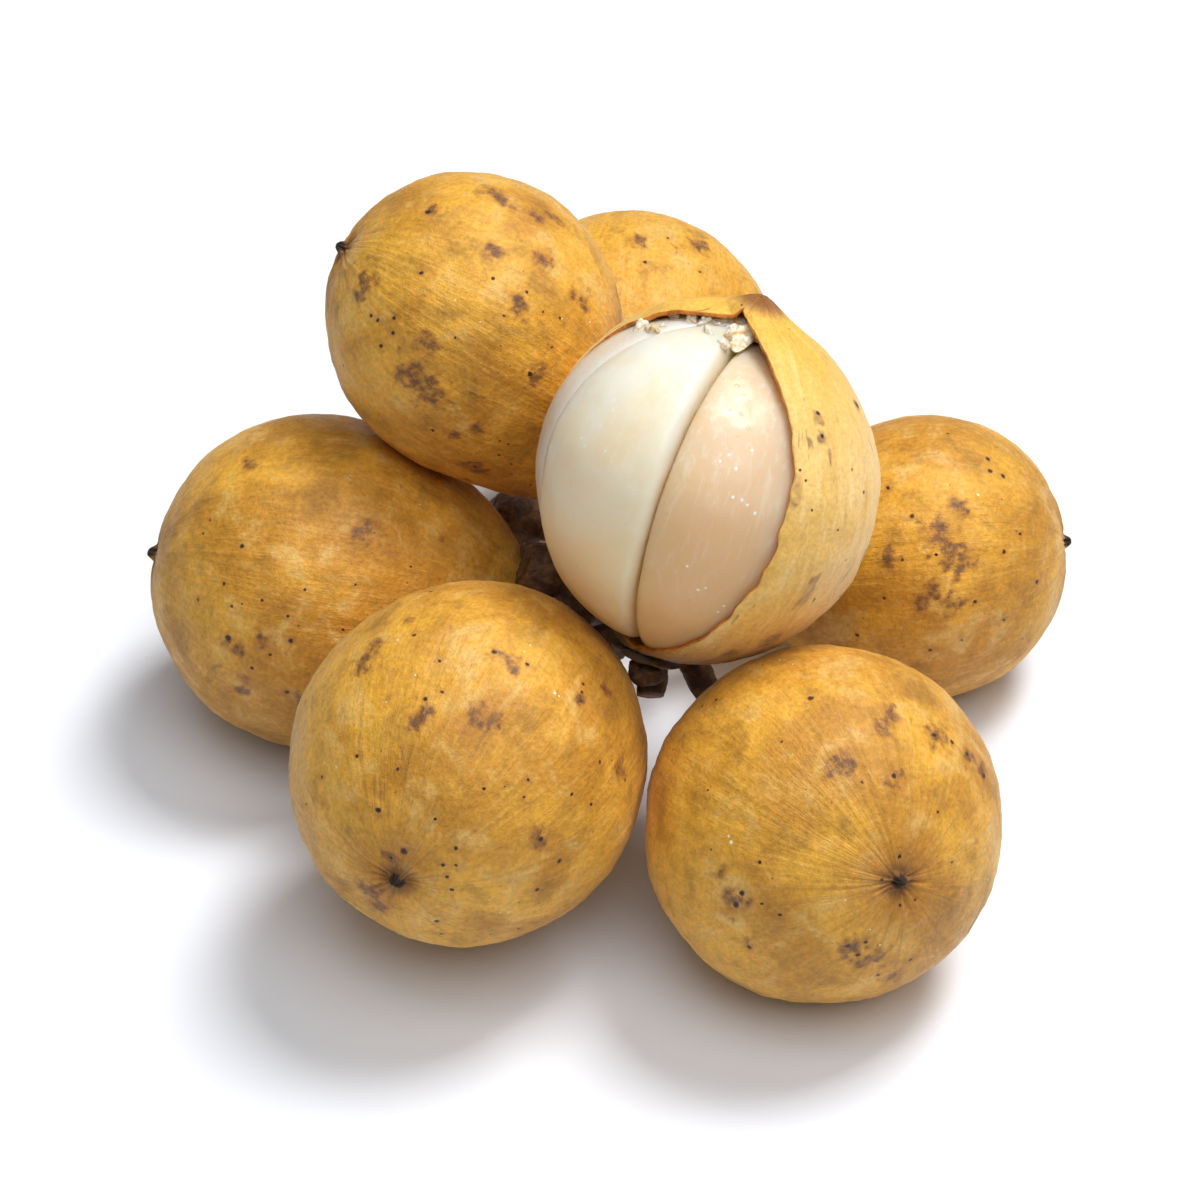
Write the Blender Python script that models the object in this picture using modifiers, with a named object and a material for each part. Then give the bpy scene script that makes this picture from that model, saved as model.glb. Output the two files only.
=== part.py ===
"""A bunch of langsat: six whole fruits and one opened fruit on a short woody stalk.

Metres, +Z up. The bunch lies on the plane z = 0 and the origin is under the middle of it.
A fruit's axis runs from its stalk end to its apex, the little dry point opposite the stalk.
"""
import math

import bmesh
import bpy
from mathutils import Matrix, Vector

MM = 0.001

# Driving dimensions
GAP = 0.3 * MM                  # clearance between pieces that touch
PEEL_THICKNESS = 1.1 * MM
CALYX_THICKNESS = 1.0 * MM
CALYX_WAIST = 2.9 * MM          # calyx radius between two sepals
CALYX_LOBE = 1.5 * MM           # how much further a sepal's tip reaches
STALK_RADIUS = 2.2 * MM
PEDICEL_RADIUS = 1.5 * MM
BEAK_HEIGHT = 1.5 * MM          # of the opened fruit's apex
ARIL_EDGES = [-38, 18, 90, 162, 234, 322]  # degrees round the axis from the middle of the opening
ARIL_RADIUS = 16.45 * MM        # from the opened fruit's axis to the back of a segment
ARIL_CORE = 8.6 * MM            # from the axis to the middle of a segment
ARIL_UP = 15.8 * MM             # reach of the segments towards the apex
ARIL_DOWN = 16.9 * MM           # and towards the stalk
ARIL_SPRUNG = {0: (0.9 * MM, 0.5 * MM), 1: (0.0, 0.2 * MM)}  # outwards and down, in the opening

# Whole fruits: centre, apex direction, greatest radius, reach from the centre to the apex
# and to the stalk end, how much the apex end and the stalk end narrow, and where the dry
# point of the flower sits
WHOLE_FRUITS = {
    "fruit_upper_left": dict(centre=(-14.9, 13.5, 45.9), apex=(-0.544, 0.404, 0.736),
                             radius=15.6, to_apex=16.3, to_stalk=21.5, shoulder=0.0, neck=0.40,
                             point=(-0.851, 0.155, 0.502)),
    "fruit_back": dict(centre=(1.9, 34.9, 25.0), apex=(0.104, 0.978, 0.179),
                       radius=16.9, to_apex=16.6, to_stalk=19.0, shoulder=0.0, neck=0.30,
                       point=(0.104, 0.978, 0.179)),
    "fruit_right": dict(centre=(35.2, 11.3, 15.4), apex=(0.990, -0.010, 0.145),
                        radius=15.7, to_apex=15.1, to_stalk=22.0, shoulder=0.0, neck=0.38,
                        point=(0.990, -0.010, 0.145)),
    "fruit_left": dict(centre=(-32.3, 4.0, 18.0), apex=(-0.997, 0.019, -0.040),
                       radius=18.2, to_apex=18.1, to_stalk=23.0, shoulder=0.0, neck=0.30,
                       point=(-0.979, 0.014, 0.205)),
    "fruit_front_left": dict(centre=(-15.0, -29.6, 22.1), apex=(-0.348, -0.937, 0.046),
                             radius=18.1, to_apex=18.6, to_stalk=22.0, shoulder=0.0, neck=0.16,
                             point=(-0.348, -0.937, 0.046)),
    "fruit_front_right": dict(centre=(21.15, -33.9, 17.95), apex=(0.371, -0.845, 0.385),
                              radius=18.35, to_apex=17.9, to_stalk=21.0, shoulder=0.0, neck=0.32,
                              point=(0.371, -0.845, 0.385)),
}
OPEN_FRUIT = dict(centre=(9.1, -11.7, 45.0), apex=(0.290, 0.400, 0.870),
                  radius=17.9, to_apex=18.4, to_stalk=18.8, shoulder=0.12, neck=0.0)

# The peel's opening: its middle, its reach to either side round the axis, how that changes
# towards the stalk, and where it starts and ends, from the apex
OPENING_DIRECTION = (-0.575, -0.643, 0.508)
OPENING_RIGHT = math.radians(62)
OPENING_RIGHT_LOW = math.radians(-7)
OPENING_LEFT = math.radians(69)
OPENING_LEFT_LOW = math.radians(48)
OPENING_TOP = math.radians(11)
OPENING_BOTTOM = math.radians(169)

# The woody stalk, from its cut end to its tip, in millimetres
STALK_ROUTE = [(3.8, -16.8, 19.8), (3.9, -13.7, 22.3), (4.0, -8.2, 23.0),
               (3.6, -2.2, 22.6), (2.4, 3.8, 23.0), (1.0, 8.8, 23.0)]
STALK_SWELLING = [0.74, 0.85, 1.10, 1.0, 1.15, 0.85]

# Where each fruit's short pedicel bends and where it joins the stalk, in millimetres
PEDICEL_ROUTES = {
    "fruit_upper_left": [(-1.0, 3.2, 26.6), (1.8, 2.8, 23.6)],
    "fruit_back": [(0.2, 11.8, 21.9), (1.0, 8.2, 23.0)],
    "fruit_right": [(8.5, 8.8, 14.6), (5.0, 4.6, 20.0), (2.9, 2.4, 22.8)],
    "fruit_left": [(-4.0, 3.8, 20.6), (2.3, 4.0, 22.9)],
    "fruit_front_left": [(-3.2, -6.0, 23.2), (3.4, -2.6, 22.7)],
    "fruit_front_right": [(10.3, -11.4, 15.0), (8.0, -9.7, 19.0), (4.1, -8.4, 22.7)],
    "open_fruit": [(4.0, -18.6, 25.2), (3.9, -14.0, 22.6)],
}

# The knobbly pedicel that a fallen fruit left behind: places and radii, in millimetres
FALLEN_ROUTE = [(2.4, 3.8, 23.0), (-3.5, 9.0, 20.5), (-8.0, 12.9, 18.6),
                (-9.6, 14.2, 18.0), (-12.2, 16.2, 17.0), (-13.4, 17.1, 16.6)]
FALLEN_RADII = [1.4, 1.4, 1.8, 3.1, 3.0, 1.7]


def new_material(name, colour, roughness):
    """A plain Principled material."""
    material = bpy.data.materials.new(name)
    material.use_nodes = True
    shader = material.node_tree.nodes["Principled BSDF"]
    shader.inputs["Base Color"].default_value = (*colour, 1.0)
    shader.inputs["Roughness"].default_value = roughness
    shader.inputs["Metallic"].default_value = 0.0
    material.diffuse_color = (*colour, 1.0)
    return material


def fruit_frame(fruit, towards=(0.0, 0.0, 1.0)):
    """The fruit's placement: its middle, +Z to the apex and +X as near to `towards` as can be."""
    z_axis = Vector(fruit["apex"]).normalized()
    x_axis = Vector(towards) - Vector(towards).dot(z_axis) * z_axis
    x_axis.normalize()
    y_axis = z_axis.cross(x_axis)
    rotation = Matrix((x_axis, y_axis, z_axis)).transposed().to_4x4()
    return Matrix.Translation(Vector(fruit["centre"]) * MM) @ rotation


def fruit_profile(fruit, angle):
    """Distance from the axis and height along it, at an angle measured from the apex."""
    cosine = math.cos(angle)
    reach, narrowing = (fruit["to_apex"], fruit["shoulder"]) if cosine >= 0.0 else (
        fruit["to_stalk"], fruit["neck"])
    radius = fruit["radius"] * math.sin(angle) * (1.0 - narrowing * cosine ** 2)
    return radius * MM, reach * cosine * MM


def shaped_sphere(name, segments, rings, shape, frame, material):
    """A sphere primitive whose points are moved by shape(angle round, angle from +Z)."""
    mesh = bpy.data.meshes.new(name)
    body = bmesh.new()
    bmesh.ops.create_uvsphere(body, u_segments=segments, v_segments=rings, radius=1.0)
    for vertex in body.verts:
        around = math.atan2(vertex.co.y, vertex.co.x)
        down = math.acos(max(-1.0, min(1.0, vertex.co.z)))
        vertex.co = shape(around, down)
    body.to_mesh(mesh)
    body.free()
    mesh.shade_smooth()
    mesh.materials.append(material)
    piece = bpy.data.objects.new(name, mesh)
    piece.matrix_world = frame
    bunch.objects.link(piece)
    return piece


# Whole fruits

APEX_POINT = 0.8 * MM           # height of the dry point on the apex
RING_CROWDING = 1.25            # above 1, rings crowd towards the apex


def add_whole_fruit(name, fruit, material):
    """One closed pear-like fruit with its dry point, cut flat where it meets z = 0."""

    def shape(around, down):
        angle = math.pi * (down / math.pi) ** RING_CROWDING
        radius, height = fruit_profile(fruit, angle)
        return Vector((radius * math.cos(around), radius * math.sin(around), height))

    piece = shaped_sphere(name, 28, 18, shape, fruit_frame(fruit), material)
    point = fruit_frame(fruit).to_3x3().inverted() @ Vector(fruit["point"]).normalized()
    tip = max(piece.data.vertices, key=lambda vertex: vertex.co.normalized().dot(point))
    tip.co += tip.co.normalized() * APEX_POINT
    cut_flat_rest(piece)
    return piece


def cut_flat_rest(piece):
    """Cut off what is below z = 0, so that the fruit rests on a small flat spot."""
    to_local = piece.matrix_world.inverted()
    floor_point = to_local @ Vector((0.0, 0.0, 0.0))
    floor_normal = (to_local.to_3x3() @ Vector((0.0, 0.0, 1.0))).normalized()
    body = bmesh.new()
    body.from_mesh(piece.data)
    geometry = body.verts[:] + body.edges[:] + body.faces[:]
    cut = bmesh.ops.bisect_plane(body, geom=geometry, plane_co=floor_point,
                                 plane_no=floor_normal, clear_inner=True)
    rim = [item for item in cut["geom_cut"] if isinstance(item, bmesh.types.BMEdge)]
    if rim:
        bmesh.ops.contextual_create(body, geom=rim)
        bmesh.ops.recalc_face_normals(body, faces=body.faces)
    body.to_mesh(piece.data)
    body.free()


# The opened fruit's peel

def opening_edges(down):
    """How far the opening reaches to its right and left, at an angle measured from the apex."""
    middle = (OPENING_TOP + OPENING_BOTTOM) / 2
    reach = (OPENING_BOTTOM - OPENING_TOP) / 2
    offset = min(1.0, abs(down - middle) / reach)
    width = math.sqrt(1.0 - offset ** 3.2)
    low = max(0.0, -math.cos(down))
    return width * (OPENING_RIGHT + low * OPENING_RIGHT_LOW), width * (OPENING_LEFT + low * OPENING_LEFT_LOW)


def add_open_peel(material):
    """The peel: a sheet round the axis, open on one side and closed at both ends, thickened inwards."""
    columns = 30
    rows = 20
    mesh = bpy.data.meshes.new("open_peel")
    sheet = bmesh.new()
    bmesh.ops.create_grid(sheet, x_segments=columns, y_segments=rows, size=0.5)
    for vertex in sheet.verts:
        across = vertex.co.x + 0.5
        down = math.pi * (0.5 - vertex.co.y)
        right, left = opening_edges(down)
        around = right + across * (2 * math.pi - right - left)
        radius, height = fruit_profile(OPEN_FRUIT, down)
        beak = BEAK_HEIGHT * math.exp(-(radius / (2.6 * MM)) ** 2) if height > 0 else 0.0
        vertex.co = (radius * math.cos(around), radius * math.sin(around), height + beak)
    bmesh.ops.remove_doubles(sheet, verts=sheet.verts, dist=0.01 * MM)
    bmesh.ops.recalc_face_normals(sheet, faces=sheet.faces)
    sheet.to_mesh(mesh)
    sheet.free()
    mesh.shade_smooth()
    mesh.materials.append(material)
    piece = bpy.data.objects.new("open_peel", mesh)
    piece.matrix_world = fruit_frame(OPEN_FRUIT, OPENING_DIRECTION)
    bunch.objects.link(piece)
    thickness = piece.modifiers.new("thickness", "SOLIDIFY")
    thickness.thickness = PEEL_THICKNESS
    thickness.offset = -1.0
    return piece


# Segments of flesh and the pith above them

ARIL_SHARPNESS = 11.0           # the higher, the sharper a segment's edges
PITH_TURN = math.radians(-18)   # so that the tuft's rays run between the segments


def flesh_limit(start, way, up, down):
    """Distance from a point inside the flesh to its outer surface, an ellipsoid of two halves."""
    for reach in (up, down):
        squeeze = ARIL_RADIUS / reach
        place = Vector((start.x, start.y, start.z * squeeze))
        slope = Vector((way.x, way.y, way.z * squeeze))
        half = place.dot(slope) / slope.dot(slope)
        rest = (place.dot(place) - ARIL_RADIUS ** 2) / slope.dot(slope)
        distance = -half + math.sqrt(half ** 2 - rest)
        if (start.z + way.z * distance >= 0.0) == (reach == up):
            break
    return distance


def add_aril(number, material):
    """One wedge-shaped segment of flesh with rounded edges, its thin edge to the axis."""
    first, last = (math.radians(edge) for edge in ARIL_EDGES[number:number + 2])
    frame = fruit_frame(OPEN_FRUIT, OPENING_DIRECTION) @ Matrix.Rotation((first + last) / 2, 4, "Z")
    outwards, downwards = ARIL_SPRUNG.get(number, (0.0, 0.0))
    half_wedge = (last - first) / 2
    side = ARIL_CORE * math.sin(half_wedge) - 0.75 * GAP
    middle = Vector((ARIL_CORE, 0.0, 0.0))

    def shape(around, down):
        way = Vector((math.sin(down) * math.cos(around), math.sin(down) * math.sin(around),
                      2.4 * math.cos(down))).normalized()
        limits = [flesh_limit(middle - Vector((outwards, 0.0, -downwards)), way, ARIL_UP, ARIL_DOWN)]
        for hand in (1.0, -1.0):
            slope = way.dot(Vector((-math.sin(half_wedge), hand * math.cos(half_wedge), 0.0)))
            if slope > 0.02:
                limits.append(side / slope)
        return middle + way * sum(limit ** -ARIL_SHARPNESS for limit in limits) ** (-1.0 / ARIL_SHARPNESS)

    return shaped_sphere(f"aril_{number + 1}", 32, 18, shape, frame, material)


def add_pith(material):
    """The fibrous tuft between the tips of the segments and the peel."""
    frame = fruit_frame(OPEN_FRUIT, OPENING_DIRECTION) @ Matrix.Rotation(PITH_TURN, 4, "Z")
    frame = frame @ Matrix.Translation((0.0, 0.0, 16.7 * MM))

    def shape(around, down):
        ray = abs(math.sin(2.5 * around)) ** 1.5
        reach = (2.4 + 1.8 * ray) * MM * math.sin(down)
        sag = 0.9 * MM * (reach / (4.2 * MM)) ** 2
        return Vector((reach * math.cos(around), reach * math.sin(around),
                       0.65 * MM * math.cos(down) - sag))

    return shaped_sphere("pith", 20, 8, shape, frame, material)


# Calyces

def add_calyx(name, fruit, material):
    """Five joined sepals that cup the stalk end of a fruit."""
    # +Z points away from the fruit here, from the stalk end
    flip = Matrix.Translation((0.0, 0.0, -fruit["to_stalk"] * MM)) @ Matrix.Rotation(math.pi, 4, "X")
    frame = fruit_frame(fruit) @ flip
    end_radius = fruit["radius"] * MM * (1.0 - fruit["neck"])

    def shape(around, down):
        reach = CALYX_WAIST + CALYX_LOBE * abs(math.cos(2.5 * around)) ** 0.8
        distance = reach * math.sin(down)
        drop = fruit["to_stalk"] * MM * (1.0 - math.sqrt(1.0 - (distance / end_radius) ** 2))
        rise = CALYX_THICKNESS * (1.0 + math.cos(down)) / 2
        return Vector((distance * math.cos(around), distance * math.sin(around),
                       GAP - drop + rise))

    return shaped_sphere(name, 20, 6, shape, frame, material)


# The woody stalk with its pedicels

def tube(name, route, radii):
    """A round branch through the points of the route, as a mesh with closed ends."""
    curve = bpy.data.curves.new(name, "CURVE")
    curve.dimensions = "3D"
    curve.bevel_depth = 1.0
    curve.bevel_resolution = 2
    curve.use_fill_caps = True
    spline = curve.splines.new("POLY")
    spline.points.add(len(route) - 1)
    for point, place, radius in zip(spline.points, route, radii):
        point.co = (*place, 1.0)
        point.radius = radius
    bent = bpy.data.objects.new(name, curve)
    bunch.objects.link(bent)
    evaluated = bent.evaluated_get(bpy.context.evaluated_depsgraph_get())
    mesh = bpy.data.meshes.new_from_object(evaluated)
    body = bmesh.new()
    body.from_mesh(mesh)
    bmesh.ops.remove_doubles(body, verts=body.verts, dist=0.001 * MM)
    bmesh.ops.recalc_face_normals(body, faces=body.faces)
    body.to_mesh(mesh)
    body.free()
    placement = bent.matrix_world.copy()
    bpy.data.objects.remove(bent)
    branch = bpy.data.objects.new(name, mesh)
    branch.matrix_world = placement
    return branch


def add_rachis(fruits, material):
    """The stalk and its pedicels, grown together in one solid."""
    route = [Vector(place) * MM for place in STALK_ROUTE]
    rachis = tube("rachis", route, [STALK_RADIUS * factor for factor in STALK_SWELLING])
    bunch.objects.link(rachis)
    branches = bpy.data.collections.new("branches")
    for name, fruit in fruits.items():
        away = -Vector(fruit["apex"]).normalized()
        stalk_end = (Vector(fruit["centre"]) + away * fruit["to_stalk"]) * MM
        start = stalk_end + away * (CALYX_THICKNESS + 2 * GAP)
        collar = start + away * 1.1 * MM
        route = [start, collar] + [Vector(place) * MM for place in PEDICEL_ROUTES[name]]
        radii = [PEDICEL_RADIUS * 1.25, PEDICEL_RADIUS] + [PEDICEL_RADIUS] * (len(route) - 2)
        branches.objects.link(tube("pedicel", route, radii))
    fallen_route = [Vector(place) * MM for place in FALLEN_ROUTE]
    branches.objects.link(tube("pedicel", fallen_route, [radius * MM for radius in FALLEN_RADII]))
    union = rachis.modifiers.new("pedicels", "BOOLEAN")
    union.operation = "UNION"
    union.operand_type = "COLLECTION"
    union.collection = branches
    union.solver = "EXACT"
    evaluated = rachis.evaluated_get(bpy.context.evaluated_depsgraph_get())
    joined = bpy.data.meshes.new_from_object(evaluated)
    rachis.modifiers.clear()
    rachis.data = joined
    rachis.data.materials.clear()
    rachis.data.materials.append(material)
    for branch in list(branches.objects):
        bpy.data.objects.remove(branch)
    bpy.data.collections.remove(branches)
    return rachis


# Build the bunch

for leftover in list(bpy.data.objects):
    bpy.data.objects.remove(leftover)
bunch = bpy.data.collections.new("langsat_bunch")
bpy.context.scene.collection.children.link(bunch)

skin = new_material("skin", (0.62, 0.40, 0.13), 0.62)
open_skin = new_material("open_skin", (0.78, 0.55, 0.24), 0.62)
flesh = new_material("flesh", (0.85, 0.76, 0.62), 0.25)
pith_fibre = new_material("pith_fibre", (0.88, 0.80, 0.66), 0.70)
bark = new_material("bark", (0.16, 0.09, 0.05), 0.75)
sepal = new_material("sepal", (0.20, 0.15, 0.06), 0.60)

for fruit_name, fruit_data in WHOLE_FRUITS.items():
    add_whole_fruit(fruit_name, fruit_data, skin)
add_open_peel(open_skin)
for aril_number in range(len(ARIL_EDGES) - 1):
    add_aril(aril_number, flesh)
add_pith(pith_fibre)

all_fruits = dict(WHOLE_FRUITS, open_fruit=OPEN_FRUIT)
for fruit_name, fruit_data in all_fruits.items():
    add_calyx("calyx_" + fruit_name.removeprefix("fruit_"), fruit_data, sepal)
add_rachis(all_fruits, bark)
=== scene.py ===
import math

import bmesh
import bpy
import numpy as np
from mathutils import Matrix, Vector


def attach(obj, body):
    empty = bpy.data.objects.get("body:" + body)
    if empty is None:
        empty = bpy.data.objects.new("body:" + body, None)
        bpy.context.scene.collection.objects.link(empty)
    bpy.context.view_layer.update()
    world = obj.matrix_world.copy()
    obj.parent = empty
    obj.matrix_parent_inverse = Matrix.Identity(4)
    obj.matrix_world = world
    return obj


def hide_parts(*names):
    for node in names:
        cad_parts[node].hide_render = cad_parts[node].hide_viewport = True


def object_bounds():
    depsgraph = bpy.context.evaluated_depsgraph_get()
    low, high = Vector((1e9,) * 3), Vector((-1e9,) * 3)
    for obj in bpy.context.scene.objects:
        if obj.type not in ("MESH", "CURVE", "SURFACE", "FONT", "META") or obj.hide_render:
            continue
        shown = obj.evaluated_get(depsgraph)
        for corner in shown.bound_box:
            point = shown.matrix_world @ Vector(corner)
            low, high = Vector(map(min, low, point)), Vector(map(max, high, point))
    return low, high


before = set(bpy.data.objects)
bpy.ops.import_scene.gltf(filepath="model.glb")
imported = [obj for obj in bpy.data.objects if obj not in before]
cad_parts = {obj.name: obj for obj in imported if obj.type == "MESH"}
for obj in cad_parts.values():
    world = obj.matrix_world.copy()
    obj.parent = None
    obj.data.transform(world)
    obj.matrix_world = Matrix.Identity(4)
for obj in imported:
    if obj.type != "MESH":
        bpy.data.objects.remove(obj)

# Looks of the langsat bunch: velvety mottled skins, wet flesh, pith, calyces and woody stalk.
# Each piece is built in its own frame, in metres: a fruit's +Z runs from its stalk end to its apex.

MM = 0.001
CAD_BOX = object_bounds()
GAP = 0.3 * MM

# The fruits of the CAD model: centre, apex direction, greatest radius, reach from the centre
# to the apex and to the stalk end, how much the apex end and the stalk end narrow, and where
# the dry point of the flower sits
WHOLE_FRUITS = {
    "fruit_upper_left": dict(centre=(-14.9, 13.5, 45.9), apex=(-0.544, 0.404, 0.736),
                             radius=15.6, to_apex=16.3, to_stalk=21.5, shoulder=0.0, neck=0.40,
                             point=(-0.851, 0.155, 0.502)),
    "fruit_back": dict(centre=(1.9, 34.9, 25.0), apex=(0.104, 0.978, 0.179),
                       radius=16.9, to_apex=16.6, to_stalk=19.0, shoulder=0.0, neck=0.30,
                       point=(0.104, 0.978, 0.179)),
    "fruit_right": dict(centre=(35.2, 11.3, 15.4), apex=(0.990, -0.010, 0.145),
                        radius=15.7, to_apex=15.1, to_stalk=22.0, shoulder=0.0, neck=0.38,
                        point=(0.990, -0.010, 0.145)),
    "fruit_left": dict(centre=(-32.3, 4.0, 18.0), apex=(-0.997, 0.019, -0.040),
                       radius=18.2, to_apex=18.1, to_stalk=23.0, shoulder=0.0, neck=0.30,
                       point=(-0.979, 0.014, 0.205)),
    "fruit_front_left": dict(centre=(-15.0, -29.6, 22.1), apex=(-0.348, -0.937, 0.046),
                             radius=18.1, to_apex=18.6, to_stalk=22.0, shoulder=0.0, neck=0.16,
                             point=(-0.348, -0.937, 0.046)),
    "fruit_front_right": dict(centre=(21.15, -33.9, 17.95), apex=(0.371, -0.845, 0.385),
                              radius=18.35, to_apex=17.9, to_stalk=21.0, shoulder=0.0, neck=0.32,
                              point=(0.371, -0.845, 0.385)),
}
OPEN_FRUIT = dict(centre=(9.1, -11.7, 45.0), apex=(0.290, 0.400, 0.870),
                  radius=17.9, to_apex=18.4, to_stalk=18.8, shoulder=0.12, neck=0.0)

# The peel's opening: its middle, its reach to either side round the axis, how that changes
# towards the stalk, and where it starts and ends, from the apex
OPENING_DIRECTION = (-0.575, -0.643, 0.508)
OPENING_RIGHT = math.radians(62)
OPENING_RIGHT_LOW = math.radians(-7)
OPENING_LEFT = math.radians(69)
OPENING_LEFT_LOW = math.radians(48)
OPENING_TOP = math.radians(11)
OPENING_BOTTOM = math.radians(169)
PEEL_THICKNESS = 1.1 * MM
BEAK_HEIGHT = 1.5 * MM

# The segments of flesh: the angles of their edges round the fruit's axis, their reach, how far
# some are sprung outwards and down, and how sharp their edges are
ARIL_EDGES = [-36, 18, 90, 162, 234, 324]
ARIL_RADIUS = 16.45 * MM
ARIL_CORE = 8.6 * MM
ARIL_UP = 15.8 * MM
ARIL_DOWN = 16.9 * MM
LONGER_ARILS = {0: 18.0 * MM, 1: 17.7 * MM}
ARIL_SPRUNG = {0: (1.4 * MM, -0.6 * MM), 1: (0.3 * MM, 0.3 * MM), 4: (1.0 * MM, -0.6 * MM)}
ARIL_SHARPNESS = 14.0
ROUNDER_ARILS = {0: 9.0, 1: 13.0}
PITH_TURN = math.radians(-18)
PITH_HEIGHT = 16.7 * MM

# Calyces and the woody stalk, from its cut end to its tip, with places in millimetres
CALYX_THICKNESS = 1.0 * MM
CALYX_WAIST = 2.9 * MM
CALYX_LOBE = 1.5 * MM
STALK_RADIUS = 2.2 * MM
PEDICEL_RADIUS = 1.5 * MM
# These fruits' pedicels are drawn thicker so that their dark bark fills dark gaps between the fruits;
# the extra thickness stands in for shade there
PEDICELS_THICKENED_FOR_SHADE = ("fruit_left", "fruit_front_left")
STALK_ROUTE = [(3.8, -16.8, 19.8), (3.9, -13.7, 22.3), (4.0, -8.2, 23.0),
               (3.6, -2.2, 22.6), (2.4, 3.8, 23.0), (1.0, 8.8, 23.0)]
# The stalk swells in its middle, partly so that its dark bark fills dark gaps between the fruits in
# place of shade
STALK_SWELLING = [0.70, 0.85, 1.35, 1.30, 1.45, 1.05]
PEDICEL_ROUTES = {
    "fruit_upper_left": [(-1.0, 3.2, 26.6), (1.8, 2.8, 23.6)],
    "fruit_back": [(0.2, 11.8, 21.9), (1.0, 8.2, 23.0)],
    "fruit_right": [(8.5, 8.8, 14.6), (5.0, 4.6, 20.0), (2.9, 2.4, 22.8)],
    "fruit_left": [(-4.0, 3.8, 20.6), (2.3, 4.0, 22.9)],
    "fruit_front_left": [(-3.2, -6.0, 23.2), (3.4, -2.6, 22.7)],
    "fruit_front_right": [(10.3, -11.4, 15.0), (8.0, -9.7, 19.0), (4.1, -8.4, 22.7)],
    "open_fruit": [(4.0, -18.6, 25.2), (3.9, -14.0, 22.6)],
}

# Three dark knobs on the stalk, each as its places and radii in millimetres: one knobbly pedicel and
# two scars, given as what fallen fruits left, that are seen only as dark bits between the fruits.
# Their dark bark fills dark gaps between the fruits and stands in partly for the shade there.
FALLEN_FRUIT_KNOBS_AND_SHADE = [
    ([(2.4, 3.8, 23.0), (-3.5, 9.0, 20.5), (-8.0, 12.9, 18.6), (-9.6, 14.2, 18.0), (-12.2, 16.2, 17.0),
      (-13.4, 17.1, 16.6)], [1.4, 1.4, 1.8, 3.1, 3.0, 1.7]),
    ([(3.4, -2.6, 22.7), (-2.6, -2.9, 23.2), (-5.6, -3.0, 24.4), (-7.4, -3.1, 25.3),
      (-9.6, -3.1, 26.4)], [1.5, 1.5, 2.9, 3.6, 2.4]),
    ([(3.6, -2.2, 22.6), (0.8, -2.2, 19.0), (-0.9, -2.0, 17.2), (-0.6, -2.0, 15.2),
      (0.4, -1.9, 13.2)], [1.5, 1.7, 2.6, 2.8, 1.9]),
]

# The camera: where it looks, how steeply down, how far off, and its focal length
IMAGE_SIZE = 1200
CAMERA_TARGET = Vector((-1.5, -1.5, 20.0)) * MM
CAMERA_ELEVATION = math.radians(41)
CAMERA_DISTANCE = 410 * MM
FOCAL_PIXELS = 3800
SENSOR_WIDTH = 36.0

# The studio: the floor, the light from all round, and the lights, each with its place and size in
# metres, its power and its colour
FLOOR_SIZE = 12.0
FLOOR_COLOUR = (0.90, 0.935, 1.0, 1.0)
WORLD_COLOUR = (0.94, 0.97, 1.0, 1.0)
WORLD_STRENGTH = 0.12
LIGHT_TARGET = Vector((0.0, 0.0, 0.025))
LIGHTS = {
    "key": ((0.42, 0.28, 1.15), 0.45, 13.5, (1.0, 0.99, 0.98)),
    "overhead": ((0.10, -0.48, 1.02), 0.80, 6.6, (0.98, 0.99, 1.0)),
}


# Camera

def camera_axes():
    """The camera's place and its right, up and backward directions."""
    back = Vector((0.0, -math.cos(CAMERA_ELEVATION), math.sin(CAMERA_ELEVATION)))
    up = Vector((0.0, math.sin(CAMERA_ELEVATION), math.cos(CAMERA_ELEVATION)))
    return CAMERA_TARGET + back * CAMERA_DISTANCE, Vector((1.0, 0.0, 0.0)), up, back


def add_camera():
    place, right, up, back = camera_axes()
    camera = bpy.data.cameras.new("camera")
    camera.sensor_width = SENSOR_WIDTH
    camera.lens = SENSOR_WIDTH * FOCAL_PIXELS / IMAGE_SIZE
    camera.clip_start = 0.01
    camera.clip_end = 50.0
    rotation = Matrix((right, up, back)).transposed().to_4x4()
    matrix = Matrix.Translation(place) @ rotation
    bpy.context.scene.camera = add_object("camera", camera, matrix)


def pixel_ray(x, y):
    """Start and direction of the line of sight through a pixel of the 1200 x 1200 image."""
    place, right, up, back = camera_axes()
    half = IMAGE_SIZE / 2
    direction = right * (x - half) / FOCAL_PIXELS + up * (half - y) / FOCAL_PIXELS - back
    return place, direction.normalized()


# Shapes in numbers

def fruit_matrix(fruit, towards=(0.0, 0.0, 1.0)):
    """The fruit's placement: its middle, +Z to the apex and +X as near to `towards` as can be."""
    z_axis = Vector(fruit["apex"]).normalized()
    x_axis = Vector(towards) - Vector(towards).dot(z_axis) * z_axis
    x_axis.normalize()
    y_axis = z_axis.cross(x_axis)
    rotation = Matrix((x_axis, y_axis, z_axis)).transposed().to_4x4()
    return Matrix.Translation(Vector(fruit["centre"]) * MM) @ rotation


def fruit_profile(fruit, angle):
    """Distance from the axis and height along it, at angles measured from the apex."""
    cosine = np.cos(angle)
    narrowing = np.where(cosine < 0.0, fruit["neck"], fruit["shoulder"])
    reach = np.where(cosine < 0.0, fruit["to_stalk"], fruit["to_apex"])
    radius = fruit["radius"] * np.sin(angle) * (1.0 - narrowing * cosine ** 2)
    return radius * MM, reach * cosine * MM


def fruit_reach(fruit, directions):
    """Distance from the fruit's centre to its surface in directions given in the fruit's frame."""
    radius, height = fruit_profile(fruit, np.linspace(0, math.pi, 721))
    polar = np.arctan2(radius, height)
    asked = np.arctan2(np.hypot(directions[..., 0], directions[..., 1]), directions[..., 2])
    return np.interp(asked, polar, np.hypot(radius, height))


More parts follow.
